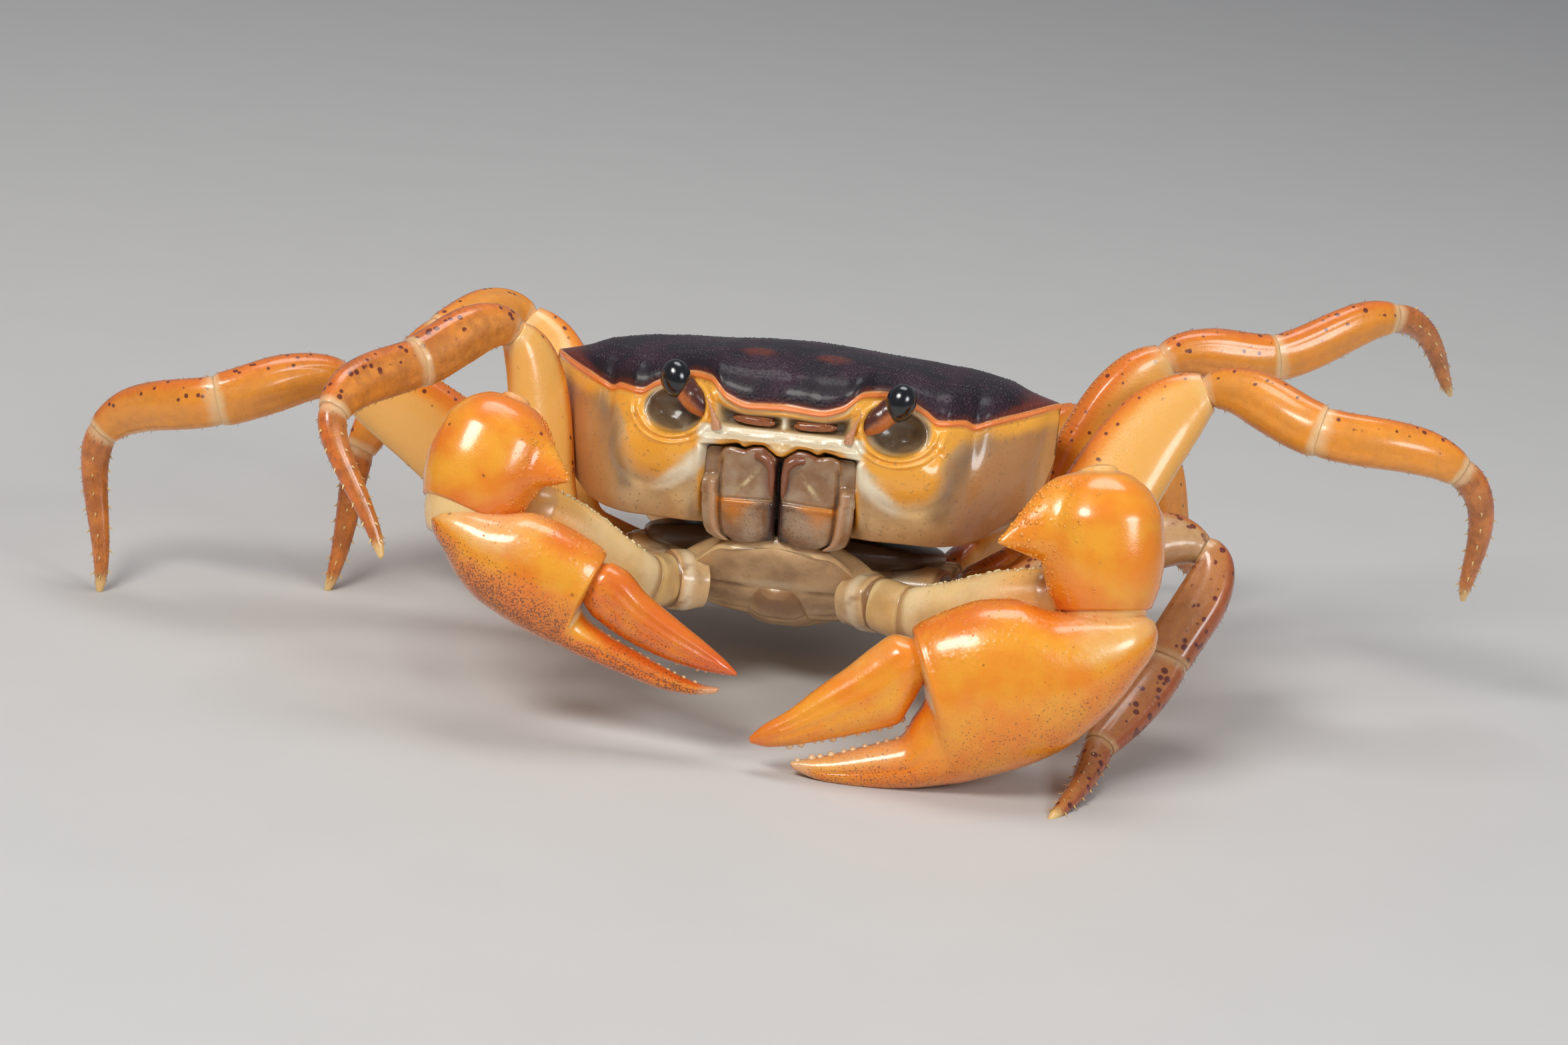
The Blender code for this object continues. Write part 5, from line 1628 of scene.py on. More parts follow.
    def thorns(self, sheets: Sheets, surface: Array, t: Array) -> None:
        """Rows of horny spines along four lines of the dactyl, larger towards its point.

        Args:
            sheets: Where they go.
            surface: The dactyl's points.
            t: Share of the length of each row.
        """
        sides = surface.shape[1]
        for k, column in enumerate((0, sides // 4, sides // 2, 3 * sides // 4)):
            shares = np.array([0.16, 0.28, 0.4, 0.52, 0.64, 0.76, 0.87]) + (0.03 if k % 2 else 0)
            rows = np.searchsorted(t, shares)
            seats, frames = seats_on(surface, rows, np.full(len(rows), column))
            length = self.spine_length * (0.7 + 0.4 * shares) * (1 if k % 2 == 0 else 0.75)
            sizes = upright(np.full(len(rows), self.spine_radius), length)
            sheets.copies(THORN, seats, leaned(frames, np.full(len(rows), 0.75)), sizes, {"horn": 1})


# Azimuth and elevation of each segment, with none where the tip drops to the floor
LEGS = (
    WalkingLeg(0, Side.RIGHT, ((-158, 26), (163, 69), (-136, -8), (-123, -13), (-39, -58)), Tone.TAWNY),
    WalkingLeg(1, Side.RIGHT, ((178, 17), (177, 29), (-157, -9), (157, -24), (-75, None))),
    WalkingLeg(2, Side.RIGHT, ((177, 20), (117, 40), (-131, -1), (-150, -54), (-110, None))),
    WalkingLeg(3, Side.RIGHT, ((110, 14), (105, 30), (130, -5), (150, -48), (95, None))),
    WalkingLeg(0, Side.LEFT, ((-31, 16), (14, 15), (-112, -53), (-124, -31), (-110, None)), Tone.DUSKY),
    WalkingLeg(1, Side.LEFT, ((-14, 22), (30, 45), (-32, -4), (4, -11), (59, -66))),
    WalkingLeg(2, Side.LEFT, ((20, 25), (28, 56), (17, 3), (27, 16), (44, -39))),
    WalkingLeg(3, Side.LEFT, ((45, 20), (45, 42), (30, -20), (20, -68), (60, None))),
)


@dataclass
class Cheliped:
    """Arm, wrist, palm with its fixed finger, and the moving finger of one claw."""

    side: Side
    lengths: Pair
    pose: tuple[Pair, Pair]
    wrist_top: Triple
    wrist_end: Triple
    wrist_half: Pair
    tooth_root: Triple
    tooth_point: Triple
    tooth_radius: float
    palm_at: Triple
    palm_axis: Pair
    palm_lean: float
    palm_stations: Table
    finger_stations: Table
    tooth_row: Pair
    skin: float = 0.85
    wrist_profile: Table = (
        (0, 0.25), (0.05, 0.5), (0.18, 0.8), (0.38, 0.98), (0.6, 1), (0.82, 0.93), (1, 0.78),
    )

    @property
    def name(self) -> str:
        """Start of the node names."""
        return "claw_" + self.side.letter

    def arm(self, finishes: Finishes) -> None:
        """Makes the ischium and the merus."""
        points, tangents = Limb(0, self.side, self.lengths, self.pose).path()
        flat = unit(np.array([0, -1, 0.3]))
        parts = ((0, ISCHIUM_PROFILE, "_ischium", "_arm_root"), (1, ARM_PROFILE, "_merus", "_arm"))
        for k, table, node, new in parts:
            segment = Segment(
                points[k], points[k + 1], tangents[k], tangents[k + 1], flat, table, neck=0.5, rows=80,
                socket=k == 0, plug=2 * k,
            )
            surface, t, u, _ = segment.surface()
            upper = u * self.side.value
            marks = {
                "pale": 0.5 * ramp(upper, -0.3, 0.6) + 0.6 * bell(t, 0.08, 0.1),
                "gold": 0.9 * ramp(t, 0.4, 1) * (k == 1) + 0.35 * (k == 0),
                "dark": 0.9 * bell(t, 0, 0.05) + 0.5 * ramp(-upper, 0.4, 1) + 0.5 * bell(t, 1, 0.04),
            }
            sheets = Sheets()
            sheets.tube(surface, marks)
            if k == 1:
                draw = np.random.default_rng(5 + self.side.value)
                edge = 0 if self.side is Side.LEFT else surface.shape[1] // 2
                rows = np.sort(draw.integers(16, len(surface) - 14, 60))
                columns = (edge + draw.integers(-2, 3, 60)) % surface.shape[1]
                seats, frames = seats_on(surface, rows, columns)
                radius = draw.uniform(0.07, 0.16, 60)
                sheets.copies(GRANULE, seats, frames, upright(radius, radius), {"pale": 0.8})
                columns = (edge + draw.integers(-8, 9, 24)) % surface.shape[1]
                seats, frames = seats_on(surface, draw.integers(10, len(surface) - 10, 24), columns)
                sizes = upright(np.full(24, 0.018), draw.uniform(0.25, 0.5, 24))
                sheets.copies(BRISTLE, seats, leaned(frames, draw.uniform(0.3, 1, 24)), sizes, {"hair": 1})
            sheets.piece(self.name + new, finishes.arm, Slot.UNDERSIDE, self.name + node)

    def wrist(self, material: Material) -> None:
        """Makes the wrist: a rounded section square to its axis, with its tooth and granules."""
        top, end = np.array(self.wrist_top), np.array(self.wrist_end)
        axis = unit(end - top)
        across = unit(np.cross(axis, np.array([0, 1, 0])))
        through = np.cross(axis, across)
        t = join([[0, 0], np.linspace(0, 1, 116) ** 1.3, [1, 1]])
        [share] = curves(self.wrist_profile, t)
        share[:2] *= (0.35, 0.75)
        share[-2:] *= (0.9, 0.7)
        lift = np.zeros(len(t))
        lift[:3] = (-0.32, -0.22, -0.06)
        lift[-2:] = (0.12, 0.05)
        sides = 128
        angles = around(sides)
        u, v = section(angles)
        facing = -self.side.value
        inner = np.pi if self.side is Side.LEFT else 0
        away = ((angles - inner) * facing + np.pi) % (2 * np.pi) - np.pi
        crest = 0.035 * bell(away, 0.42, 0.12) - 0.03 * bell(away, 0.15, 0.16) + 0.02 * bell(away, 1.3, 0.3)
        swell = 1 + crest * np.sin(np.pi * t)[:, None]
        halves = u * self.wrist_half[0], v * self.wrist_half[1]
        wide, deep = (half * share[:, None] * swell for half in halves)
        middle = top + axis * (np.linalg.norm(end - top) * t + lift)[:, None]
        rings, tip = self.toothed(ring_points(middle, across, through, wide, deep), -axis)
        t_grid, away_grid = t[:, None] + 0 * swell, away + 0 * swell
        marks = {
            "dots": 0.9, "grain": band(away_grid, -0.2, 0.3, 0.9, 1.4),
            "pale": 0.5 * bell(t_grid, 0, 0.05) + 0.4 * ramp(t_grid, 0.6, 0.95) * bell(away_grid, 0.1, 0.28)
            + 0.5 * tip,
            "deep": 0.45 * ramp(t_grid, 0.8, 1) + 0.3 * bell(away_grid, 0.5, 0.3),
        }
        sheets = Sheets()
        sheets.tube(rings, marks)
        self.membrane(sheets, end, axis, across, through)
        draw = np.random.default_rng(21 + self.side.value)
        rows = draw.integers(16, 110, 220)
        spread = draw.normal(0.45, 0.42, 220)
        turns = ((inner + spread * facing) % (2 * np.pi)) / (2 * np.pi)
        columns = np.round(turns * sides).astype(int) % sides
        seats, frames = seats_on(rings, rows, columns)
        radius = draw.uniform(0.05, 0.11, 220) * np.where(abs(spread - 0.42) < 0.16, 1.7, 1)
        sizes = upright(radius, radius * 0.8)
        sheets.copies(GRANULE, seats, frames, sizes, {"grain": 0.2, "pale": 0.05})
        sheets.piece(self.name + "_wrist", material, Slot.CLAW, self.name + "_carpus")

    def toothed(self, rings: Array, crest: Array) -> tuple[Array, Array]:
        """Draws the wrist out to its tooth: a cone about the tooth's axis, joined by a smooth maximum.

        The cone's height at a distance d from the axis is its length times one less d over its radius. Up
        the wrist the distance counts less, so the tooth's upper edge runs on as a ridge.

        Args:
            rings: Points of the wrist.
            crest: Direction up the wrist.

        Returns:
            The drawn points, and a mark that is one at the tooth's point.
        """
        root, point = np.array(self.tooth_root), np.array(self.tooth_point)
        length = np.linalg.norm(point - root)
        out = (point - root) / length
        crest = unit(crest - out * (crest @ out))
        away = rings - root
        height = away @ out
        high, wide = away @ crest, away @ np.cross(out, crest)
        distance = np.hypot(high / np.where(high > 0, 1.6, 1), wide / 0.85)
        cone = length * (1 - distance / self.tooth_radius)
        joined = (height + cone + np.sqrt((height - cone) ** 2 + 0.2)) / 2
        share = ramp((rings - rings.mean(axis=(0, 1))) @ out, 0, 1)
        share = share * fall(distance, 0.9 * self.tooth_radius, 1.6 * self.tooth_radius)
        drawn = rings + out * ((joined - height) * share)[..., None]
        return drawn, ramp(cone, 0.75 * length, length) * share

    def membrane(self, sheets: Sheets, end: Array, axis: Array, across: Array, through: Array) -> None:
        """Adds the pale skin between wrist and palm: a plug that narrows by the square of its depth.

        Args:
            sheets: Where it goes.
            end: Lower end of the wrist's axis.
            axis: Direction of that axis.
            across: First direction of its section.
            through: Second direction of its section.
        """
        t = np.linspace(0, 1, 12)
        share = self.wrist_profile[-1][1] * 0.93 * (1 - 0.35 * t**2)
        u, v = section(around(48))
        wide, deep = (half * share[:, None] for half in (u * self.wrist_half[0], v * self.wrist_half[1]))
        middle = end + axis * (2.6 * t - 0.4)[:, None]
        sheets.tube(ring_points(middle, across, through, wide, deep), {"pale": self.skin})

    def palm_frame(self) -> tuple[Array, Array, Array]:
        """Directions of the claw: along it to the fingertips, through it, and up to its upper edge."""
        along = direction(*self.palm_axis)
        up = unit(np.array([0, 0, 1]) - along * along[2])
        lean = np.radians(self.palm_lean)
        up = up * np.cos(lean) + np.cross(along, up) * np.sin(lean)
        return along, np.cross(up, along), up

    def claw_surface(self, stations: Table, rows: Array, sides: int) -> tuple[Array, Array, Array]:
        """Rings of a rounded section between the lower and the upper edge at each distance along the claw.

        Args:
            stations: Distance, lower edge, upper edge and half thickness.
            rows: Distances along the claw.
            sides: Points of each ring.

        Returns:
            Points by row and angle, and the section's two unit coordinates.
        """
        low, high, thick = curves(stations, rows[:, None])
        u, v = section(around(sides) + np.pi / sides, 2.2)
        along, through, up = self.palm_frame()
        wide, tall = thick * u, (low + high) / 2 + v * (high - low) / 2
        points = ring_points(np.array(self.palm_at) + along * rows[:, None], through, up, wide, tall)
        return points, u + 0 * wide, v + 0 * wide

    def place(self, a: Any, through: Any, up: Any) -> Array:
        """World points from distances along, through and across the claw."""
        pairs = zip((a, through, up), self.palm_frame())
        parts = (np.asarray(part, dtype=float)[..., None] * axis for part, axis in pairs)
        return np.array(self.palm_at) + sum(parts)

    def teeth(self, sheets: Sheets, upward: bool) -> None:
        """Blunt teeth on one biting edge, uneven and seeded, lower where the gape is narrow.

        Args:
            sheets: Where they go.
            upward: Whether they stand on the fixed finger.
        """
        first, last = self.tooth_row
        count = 11
        a = np.linspace(first, last + 0.6, count) + (0 if upward else 0.3)
        floor, roof = curves(self.palm_stations, a)[1], curves(self.finger_stations, a)[0]
        draw = np.random.default_rng(60 + self.side.value + int(upward))
        a = a + draw.uniform(-0.18, 0.18, count)
        large = draw.uniform(0.45, 1, count) * (1 if self.side is Side.LEFT else 0.65)
        height = np.minimum(0.4, 0.2 * (roof - floor)) * large + 0.05
        root = floor if upward else roof
        seats = self.place(a, np.zeros(count), root + (-0.12 if upward else 0.12))
        along, through, up = self.palm_frame()
        sign = 1 if upward else -1
        axes = np.stack((along, through * sign, up * sign))
        if np.linalg.det(axes) < 0:
            axes[1] = -axes[1]
        frames = np.repeat(axes[None], count, axis=0)
        sizes = np.stack((0.3 * large + 0.08, 0.32 * large + 0.1, height + 0.12), 1)
        sheets.copies(TOOTH, seats, frames, sizes, {"tooth": 0.75})

    def palm(self, material: Material) -> None:
        """Makes the palm with its fixed finger, its teeth and the granules of its upper half."""
        table = np.array(self.palm_stations)
        rows = np.sort(join([
            np.linspace(table[0, 0], table[-1, 0], 170), np.linspace(self.gape - 0.8, self.gape + 1, 24)
        ]))
        points, u, v = self.claw_surface(self.palm_stations, rows, 72)
        a = rows[:, None] + 0 * u
        outer = u * self.side.value
        length = table[-1, 0]
        rim = 0.22 * bell(a, self.gape - 0.35, 0.3) * ramp(v, -0.1, 0.5)
        rim = rim + 0.25 * bell(a, self.gape - 0.5, 0.7) * bell(v, 0.05, 0.28)
        groove = 0.16 * bell(v, -0.05, 0.12) * ramp(a, self.gape + 0.5, self.gape + 2.5)
        groove = groove * fall(a, length - 3, length)
        _, through, _ = self.palm_frame()
        points = points + (np.sign(u) * (rim - groove) * np.sqrt(abs(u)))[..., None] * through
        wrist_end = ramp(-a, -1.6, 0.6)
        big = self.side is Side.LEFT
        pollex = ramp(a, self.gape, self.gape + 4)
        marks = {
            "low": held(ramp(-v, -0.5, 0.75) * (0.8 if big else 1) + 0.6 * pollex),
            "pale": held(
                0.35 * wrist_end * ramp(-outer, -0.9, 0.2)
                + 0.55 * fall(a, 2, 8.5) * ramp(v, -0.45, 0.3)
                + (0.55 * pollex * ramp(v, -0.6, 0.6) if big else 0)
                + 0.8 * bell(a, self.gape - 0.1, 0.22) * ramp(v, -0.1, 0.4)
            ),
            "deep": held(0.6 * ramp(v, 0.3, 1) + (0 if big else 0.5 * pollex)),
            "grain": ramp(v, 0, 0.7), "dots": ramp(v, -0.3, 0.5) * (1 - pollex),
            "tooth": 0.4 * ramp(a, length - 1.6, length - 0.5),
        }
        sheets = Sheets()
        sheets.tube(points, marks, (0, 0.12))
        self.teeth(sheets, True)
        self.granules(sheets, points, rows, (0.5, self.gape - 0.8), 160)
        sheets.piece(self.name + "_hand", material, Slot.CLAW, self.name + "_palm")

    def granules(self, sheets: Sheets, points: Array, rows: Array, span: Pair, count: int) -> None:
        """Scatters small granules near the upper edge, seeded.

        Args:
            sheets: Where they go.
            points: The surface.
            rows: Distance along the claw of each row.
            span: First and last distance.
            count: How many.
        """
        draw = np.random.default_rng(40 + self.side.value)
        sides = points.shape[1]
        top = sides / 4
        near = np.searchsorted(rows, draw.uniform(*span, count))
        columns = np.round(top + draw.normal(0, sides * 0.085, count)).astype(int) % sides
        seats, frames = seats_on(points, near, columns)
        radius = draw.uniform(0.04, 0.1, count)
        sheets.copies(GRANULE, seats, frames, upright(radius, radius * 0.75), {"deep": 0.3})

    def finger(self, material: Material) -> None:
        """Makes the moving finger with its grooves and teeth."""
        table = np.array(self.finger_stations)
        rows = np.linspace(table[0, 0], table[-1, 0], 130)
        points, u, v = self.claw_surface(self.finger_stations, rows, 56)
        a = rows[:, None] + 0 * u
        length = table[-1, 0]
        _, through, _ = self.palm_frame()
        groove = 0.13 * (bell(v, 0.35, 0.1) + bell(v, -0.2, 0.1)) * ramp(a, table[0, 0] + 1, table[0, 0] + 3)
        groove = groove * fall(a, length - 3, length - 1)
        collar = 0.12 * bell(a, table[0, 0] + 0.8, 0.3)
        points = points + (np.sign(u) * (collar - groove) * np.sqrt(abs(u)))[..., None] * through
        big = self.side is Side.LEFT
        # Painted highlight: the upper side of the big claw's finger is painted paler
        top_highlight = 0.35 * ramp(v, 0.2, 0.9) * fall(a, 20, 24) if big else 0
        marks = {
            "low": (0.35 if big else 0.55) * ramp(-v, -0.8, 0.6) + 0.1,
            "pale": held(0.6 * bell(a, table[0, 0] + 0.4, 0.5) + top_highlight),
            "deep": held((0.2 if big else 0.65) + 0.5 * ramp(a, length - 5, length)),
            "dots": 0.2, "grain": 0.2,
        }
        sheets = Sheets()
        sheets.tube(points, marks, (0, 0.12))
        self.teeth(sheets, False)
        sheets.piece(self.name + "_dactyl", material, Slot.CLAW, self.name + "_finger")

    @property
    def gape(self) -> float:
        """Distance along the claw at which the fixed finger parts from the palm."""
        return self.tooth_row[0] - 2

    def build(self, finishes: Finishes) -> None:
        """Makes all five pieces of the claw."""
        material = finishes.big_claw if self.side is Side.LEFT else finishes.small_claw
        self.arm(finishes)
        self.wrist(material)
        self.palm(material)
        self.finger(material)


BIG_CLAW = Cheliped(
    side=Side.LEFT, lengths=(3, 10.9), pose=((-45, 5), (-22, 16)),
    wrist_top=(22, -5.5, 22.6), wrist_end=(23.1, -8.4, 13.2), wrist_half=(4.4, 3.9),
    tooth_root=(18.6, -8, 18.1), tooth_point=(15, -10, 17.7), tooth_radius=2.1,
    palm_at=(25.25, -9.8, 12.4), palm_axis=(-173, -21.5), palm_lean=12,
    palm_stations=(
        (-1.6, -1, 0.1, 0.5), (-1, -2, 0.7, 1.6), (0.6, -3.3, 1.35, 2.7), (2.6, -4.8, 2.1, 3.3),
        (5, -6, 2.8, 3.8), (7.5, -6.9, 4.5, 4.1), (10.5, -7.2, 5.1, 4.2), (13.5, -7.1, 4.9, 3.8),
        (14.9, -7, 4.5, 3.3), (15.4, -6.9, -0.4, 2.6), (16.6, -6.7, -1.6, 2.3), (18.1, -6.4, -2.7, 2),
        (20.3, -5.8, -2.6, 1.7), (22.6, -4.9, -2.5, 1.3), (24.4, -3.9, -2.3, 0.9),
        (25.8, -2.7, -2.1, 0.3),
    ),
    finger_stations=(
        (13.9, 1.2, 3.2, 1.1), (14.6, 0.8, 3.6, 1.5), (15.1, 0.6, 3.8, 1.75), (15.55, 0.2, 4.1, 2),
        (16.4, -0.6, 4.45, 2.15), (18, -1.75, 4, 2), (20, -1.65, 3.2, 1.8), (22.5, -1.4, 2.35, 1.5),
        (25, -1.1, 1.4, 1.1), (27, -0.7, 0.9, 0.7), (28.1, -0.1, 0.4, 0.25),
    ),
    tooth_row=(17.2, 24.6), skin=0.5,
)
SMALL_CLAW = Cheliped(
    side=Side.RIGHT, lengths=(3, 10.6), pose=((-120, 12), (-153, 29)),
    wrist_top=(-19.9, -3, 22.5), wrist_end=(-22.6, -6.9, 15), wrist_half=(4.2, 3.5),
    tooth_root=(-18.2, -6.2, 18.5), tooth_point=(-15.2, -7.7, 18.2), tooth_radius=1.7,
    palm_at=(-22.7, -8.6, 13.3), palm_axis=(-8, -24.8), palm_lean=-12,
    palm_stations=(
        (-2.5, 0.2, 0.8, 0.5), (-1.9, -0.4, 1.6, 1.3), (-0.4, -1.3, 2.5, 2), (1.6, -2.4, 3.3, 2.6),
        (3.6, -2.9, 4.5, 2.9), (6, -3, 4.95, 3), (8.4, -2.85, 5, 2.7), (9.4, -2.7, 4.7, 2.4),
        (9.85, -2.6, 0.5, 1.9), (11, -2.5, 0, 1.7), (12.4, -2.3, -0.1, 1.5), (15, -1.9, 0, 1.3),
        (17.6, -1.4, 0.1, 1), (19.8, -0.5, 0.4, 0.7), (21.1, 0.4, 0.9, 0.25),
    ),
    finger_stations=(
        (8.7, 1.9, 3.6, 0.9), (9.2, 1.4, 3.9, 1.2), (9.7, 1, 4.2, 1.45), (10.1, 0.75, 4.45, 1.65),
        (11, 0.45, 4.5, 1.75), (13.3, 0.3, 3.85, 1.6), (16, 0.5, 3.45, 1.4), (18.4, 1, 3.15, 1.05),
        (20.5, 1.7, 2.8, 0.65), (21.6, 2.2, 2.5, 0.25),
    ),
    tooth_row=(12, 18.8),
)


@dataclass
class Underside:
    """Breastplate with the coxae of all ten limbs, and the abdomen folded under it."""

    # Place along the body, half width, height of the lower and of the upper side
    plate: Table = (
        (-11.05, 3, -12.7, -12.2), (-10.85, 4.2, -13.1, -12.1), (-10.3, 5.3, -13.75, -12.1),
        (-9.7, 6.2, -14.3, -12.1), (-9, 7.1, -15, -12), (-8.4, 7.8, -15.6, -11.7),
        (-6.6, 8.9, -17, -11.5), (-4.6, 9.4, -17.9, -11.5), (0, 9.5, -18.2, -11.5),
        (4, 9.2, -17.9, -11.5), (7.6, 8, -16.6, -11.5), (10.4, 6.2, -14.6, -11.5),
        (12, 4.4, -12.6, -11.5),
    )
    # Place along the body, height of the lower side, half width
    fold: Table = (
        (-8.3, -16.2, 1.1), (-7.6, -16.8, 1.7), (-6, -17.9, 2.1), (-3, -18.4, 2.7), (0, -18.45, 3.4),
        (3, -18.2, 4.3), (6, -17.4, 5.2), (9, -16.1, 5.6), (11.6, -14.3, 5.6), (12.8, -12.95, 5.2),
    )
    seams: tuple[float, ...] = (-8.2, -5.6, -2.2, 1.4, 5, 8.4)
    joints: tuple[float, ...] = (-6, -3, 0, 3, 6, 9, 11.4)
    coxa_radii: tuple[float, ...] = (2.1, 2.05, 2.1, 2, 1.7)
    coxa_profile: Table = (
        (0, 0.85, 0.85), (0.5, 1, 0.97), (0.85, 1, 0.95), (0.95, 0.96, 0.9), (1, 0.92, 0.86),
    )
    # Place along the body and half width of the dark wall, a sheet of painted shadow under the shell
    flank: Table = ((-8.2, 8.6), (-6.2, 10.4), (0, 11.4), (6, 10.6), (11.6, 6))

    def breastplate(self, sheets: Sheets) -> None:
        """Adds the plate and the dark wall above its coxae: a sheet painted near-black as the shadow in the
        gap under the shell.

        At each station a bowed lower side, grooved at its seams, meets a crowned upper side in two edges.
        Both are one less the distance from the midline raised to 3.2, to the power 0.6.
        """
        y = np.linspace(self.plate[0][0], self.plate[-1][0], 150)[:, None]
        half, low, top = curves(self.plate, y)
        s = np.linspace(-1, 1, 81)[None, :]
        depth = (1 - abs(s) ** 3.2) ** 0.6
        drop = top - low
        slope = (0.6 + 1.3 * ramp(y, -11, -9.2)) * fall(y, -7.5, -4.5)
        edge = top - 0.3 * drop - slope * abs(s) ** 1.6
        z = edge + (low - edge) * depth
        groove = sum(bell(y - 0.5 * abs(s) ** 2, seam, 0.16) for seam in self.seams)
        groove = groove * ramp(abs(s), 0.15, 0.4)
        z = z + 0.22 * groove
        lid_s = np.linspace(1, -1, 41)[None, :]
        crown = (0.3 * drop + 0.5) * (1 - abs(lid_s) ** 3.2) ** 0.6
        lid_z = top - 0.3 * drop - slope * abs(lid_s) ** 1.6 + crown
        lid = np.stack((half * lid_s, y + 0 * lid_s, lid_z), -1)
        rows = join([np.stack((half * s, y + 0 * s, z), -1), lid], axis=1)
        dark = join([
            held(0.65 * groove + 0.45 * bell(y, -7, 0.7) + 0.3 * bell(y, -9.6, 0.4)), 0 * lid_s + 0 * y
        ], axis=1)
        pale = join([0.6 * bell(y, -8.7, 0.5) * (1 - abs(s)) + 0 * z, 0 * lid_s + 0 * y], axis=1)
        sheets.tube(from_body(rows), {"dark": dark, "pale": pale})
        # The dark wall: painted near-black as the shadow between shell and coxae
        y = np.linspace(self.flank[0][0], self.flank[-1][0], 40)[:, None]
        u, v = section(around(48), 3)
        wide = curves(self.flank, y)[0] * u
        rows = np.stack((wide, y + 0 * wide, -12.6 + 1.1 * v + 0 * wide), -1)
        sheets.tube(from_body(rows), {"dark": 1, "deep": 1})

    def coxae(self, sheets: Sheets, side: Side) -> None:
        """Adds the five coxae of one side, each a short tube with two soft ridges and two grooves.

        Args:
            sheets: Where they go.
            side: Side of the crab.
        """
        claw = BIG_CLAW if side is Side.LEFT else SMALL_CLAW
        limbs = [Limb(0, side, claw.lengths, claw.pose)]
        legs = [leg for leg in LEGS if leg.side is side]
        limbs += [Limb(leg.index + 1, side, leg.lengths[leg.index], leg.pose) for leg in legs]
        for limb, radius in zip(limbs, self.coxa_radii):
            root, end = limb.coxa()
            out, into = unit(end - root), limb.path()[1][0]
            segment = Segment(
                root, end, out, into, np.array([0, -1, 0]), self.coxa_profile, radius, sides=32, rows=40,
                neck=0, ridges=((60, 0.1, 0.45), (140, -0.09, 0.35), (200, 0.1, 0.5), (300, -0.09, 0.35)),
            )
            surface, t, u, v = segment.surface()
            streaks = 0.6 * bell(np.sin(5 * np.arctan2(v, u) + 3 * t), 1, 0.3) * bell(t, 0.7, 0.4)
            marks = {
                "pale": 0.7 * bell(t, 0.55, 0.25), "gold": 0.4 * bell(t, 0.85, 0.1),
                "dark": 0.95 * bell(t, 1, 0.06) + streaks,
            }
            sheets.tube(surface, marks)

    def abdomen(self, finishes: Finishes) -> None:
        """Makes the folded abdomen: crowned across, with a groove at each joint and a dark tip."""
        y = np.linspace(self.fold[0][0], self.fold[-1][0], 140)[:, None]
        z, half = curves(self.fold, y)
        s = np.linspace(-1, 1, 61)[None, :]
        groove = sum(bell(y + 0.35 * (1 - s**2), joint, 0.13) for joint in self.joints)
        low = z + 0.35 - 0.6 * (1 - abs(s) ** 3) + 0.18 * groove
        lid_s = np.linspace(1, -1, 9)[None, :]
        rows = join([
            np.stack((half * s, y + 0 * s, low), -1),
            np.stack((half * lid_s, y + 0 * lid_s, z + 1.3 + 0 * lid_s), -1),
        ], axis=1)
        dark = held(0.6 * groove + 0.85 * fall(y, -7.9, -5.4) + 0 * s)
        marks = {"dark": join([dark, 0 * lid_s + 0 * y], axis=1)}
        sheets = Sheets()
        sheets.tube(from_body(rows), marks)
        sheets.piece("belly_fold", finishes.underside, Slot.UNDERSIDE, "abdomen")

    def build(self, finishes: Finishes) -> None:
        """Makes both pieces of the underside."""
        sheets = Sheets()
        self.breastplate(sheets)
        for side in Side:
            self.coxae(sheets, side)
        sheets.piece("breastplate", finishes.underside, Slot.UNDERSIDE, "plastron")
        self.abdomen(finishes)


@dataclass(frozen=True)
class Lamp:
    """Soft oval light, placed and aimed in millimetres."""

    name: str
    at: Triple
    aim: Triple
    size: Pair
    power: float
    color: Color = (1, 1, 1)

    def build(self) -> None:
        """Adds the light to the scene."""
        data = bpy.data.lights.new(self.name, "AREA")
        data.shape = "ELLIPSE"
        data.size, data.size_y = self.size[0] * MM, self.size[1] * MM
        data.energy = self.power
        data.color = self.color
        lamp = bpy.data.objects.new(self.name, data)
        lamp.location = Vector(self.at) * MM
        lamp.rotation_mode = "QUATERNION"
        lamp.rotation_quaternion = (Vector(self.aim) - Vector(self.at)).to_track_quat("-Z", "Y")
        bpy.context.scene.collection.objects.link(lamp)


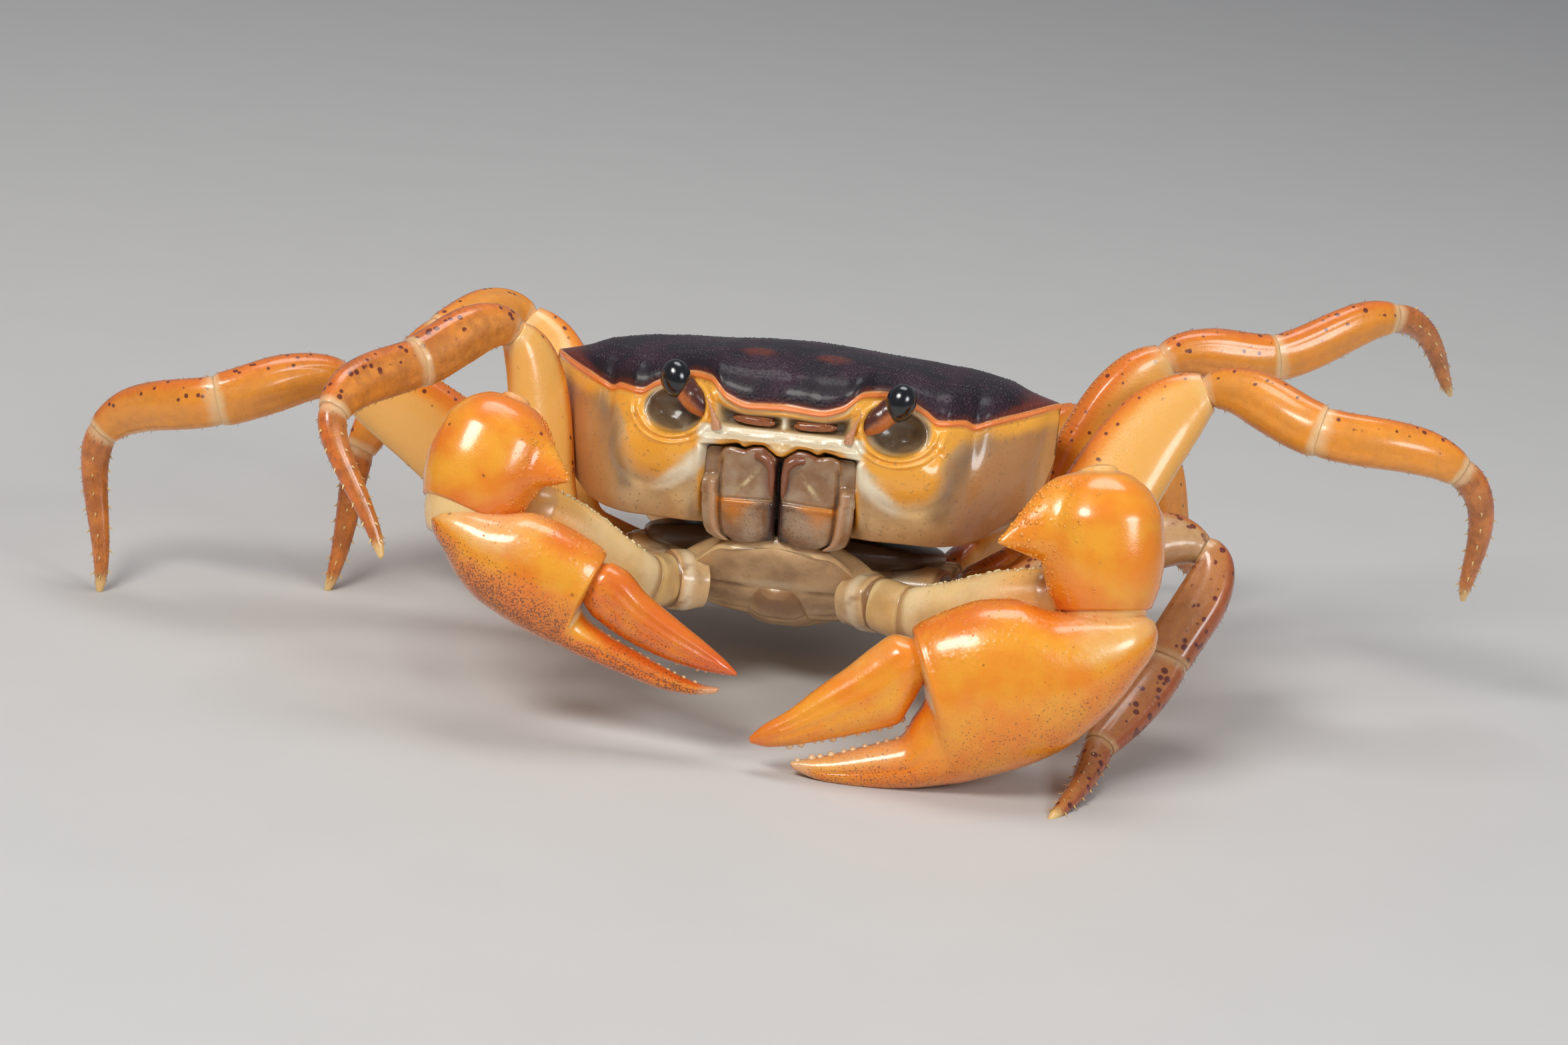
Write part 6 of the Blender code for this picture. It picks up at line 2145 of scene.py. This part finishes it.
@dataclass(frozen=True)
class Studio:
    """Camera at the photograph's angle, soft lights and a pale floor."""

    eye: Triple = (0.1602, -320.48, 106.9)
    right: Triple = (0.9945, 0.0306, 0.1)
    up: Triple = (-0.1045, 0.2908, 0.9511)
    focal: float = 100.0
    floor_half: float = 3000.0
    floor_color: Color = (0.62, 0.61, 0.59)
    sky: float = 0.23
    lamps: tuple[Lamp, ...] = (
        Lamp("key", (-170, -250, 330), (0, -10, 10), (190, 130), 1, (1, 0.97, 0.93)),
        Lamp("fill", (260, -260, 210), (0, -10, 10), (160, 120), 0.5, (0.94, 0.97, 1)),
        Lamp("top", (20, 60, 380), (0, -10, 10), (260, 160), 0.45),
    )

    def camera(self) -> None:
        """Places the camera, with its axes given as world directions."""
        data = bpy.data.cameras.new("camera")
        data.lens = self.focal
        data.sensor_width = 36
        data.clip_start = 0.01
        camera = bpy.data.objects.new("camera", data)
        right, up = Vector(self.right).normalized(), Vector(self.up).normalized()
        back = right.cross(up).normalized()
        axes = Matrix((right, up, back)).transposed().to_4x4()
        camera.matrix_world = Matrix.Translation(Vector(self.eye) * MM) @ axes
        bpy.context.scene.collection.objects.link(camera)
        bpy.context.scene.camera = camera

    def floor(self) -> None:
        """Lays the pale floor at z = 0, with a faint grain."""
        half = self.floor_half * MM
        mesh = bpy.data.meshes.new("floor")
        corners = [(-half, -half, 0), (half, -half, 0), (half, half, 0), (-half, half, 0)]
        mesh.from_pydata(corners, [], [(0, 1, 2, 3)])
        paint = Paint("floor", {"Roughness": 0.6})
        grain = paint.noise(9, 3)
        shade = tuple(part * 0.96 for part in self.floor_color)
        mesh.materials.append(paint.link(Base_Color=paint.blend(grain, self.floor_color, shade)))
        floor = bpy.data.objects.new("floor", mesh)
        bpy.context.scene.collection.objects.link(floor)

    def build(self) -> None:
        """Makes the camera, the floor, the lights and the sky."""
        self.camera()
        self.floor()
        for lamp in self.lamps:
            lamp.build()
        world = bpy.data.worlds.new("studio")
        world.use_nodes = True
        background = world.node_tree.nodes["Background"]
        background.inputs["Color"].default_value = (0.86, 0.9, 1, 1)
        background.inputs["Strength"].default_value = self.sky
        bpy.context.scene.world = world
        bpy.context.scene.view_settings.view_transform = "Standard"


def main() -> None:
    """Builds every sub-assembly in order."""
    logging.basicConfig(level=logging.INFO)
    finishes = Finishes()
    Carapace().build(finishes)
    for side in Side:
        for part in (Eyes, Feelers, Maxillipeds):
            part(side, finishes).build()
    Underside().build(finishes)
    for claw in (BIG_CLAW, SMALL_CLAW):
        claw.build(finishes)
    for leg in LEGS:
        leg.build(finishes)
    Studio().build()
    bpy.context.view_layer.update()


if __name__ == "__main__":
    main()
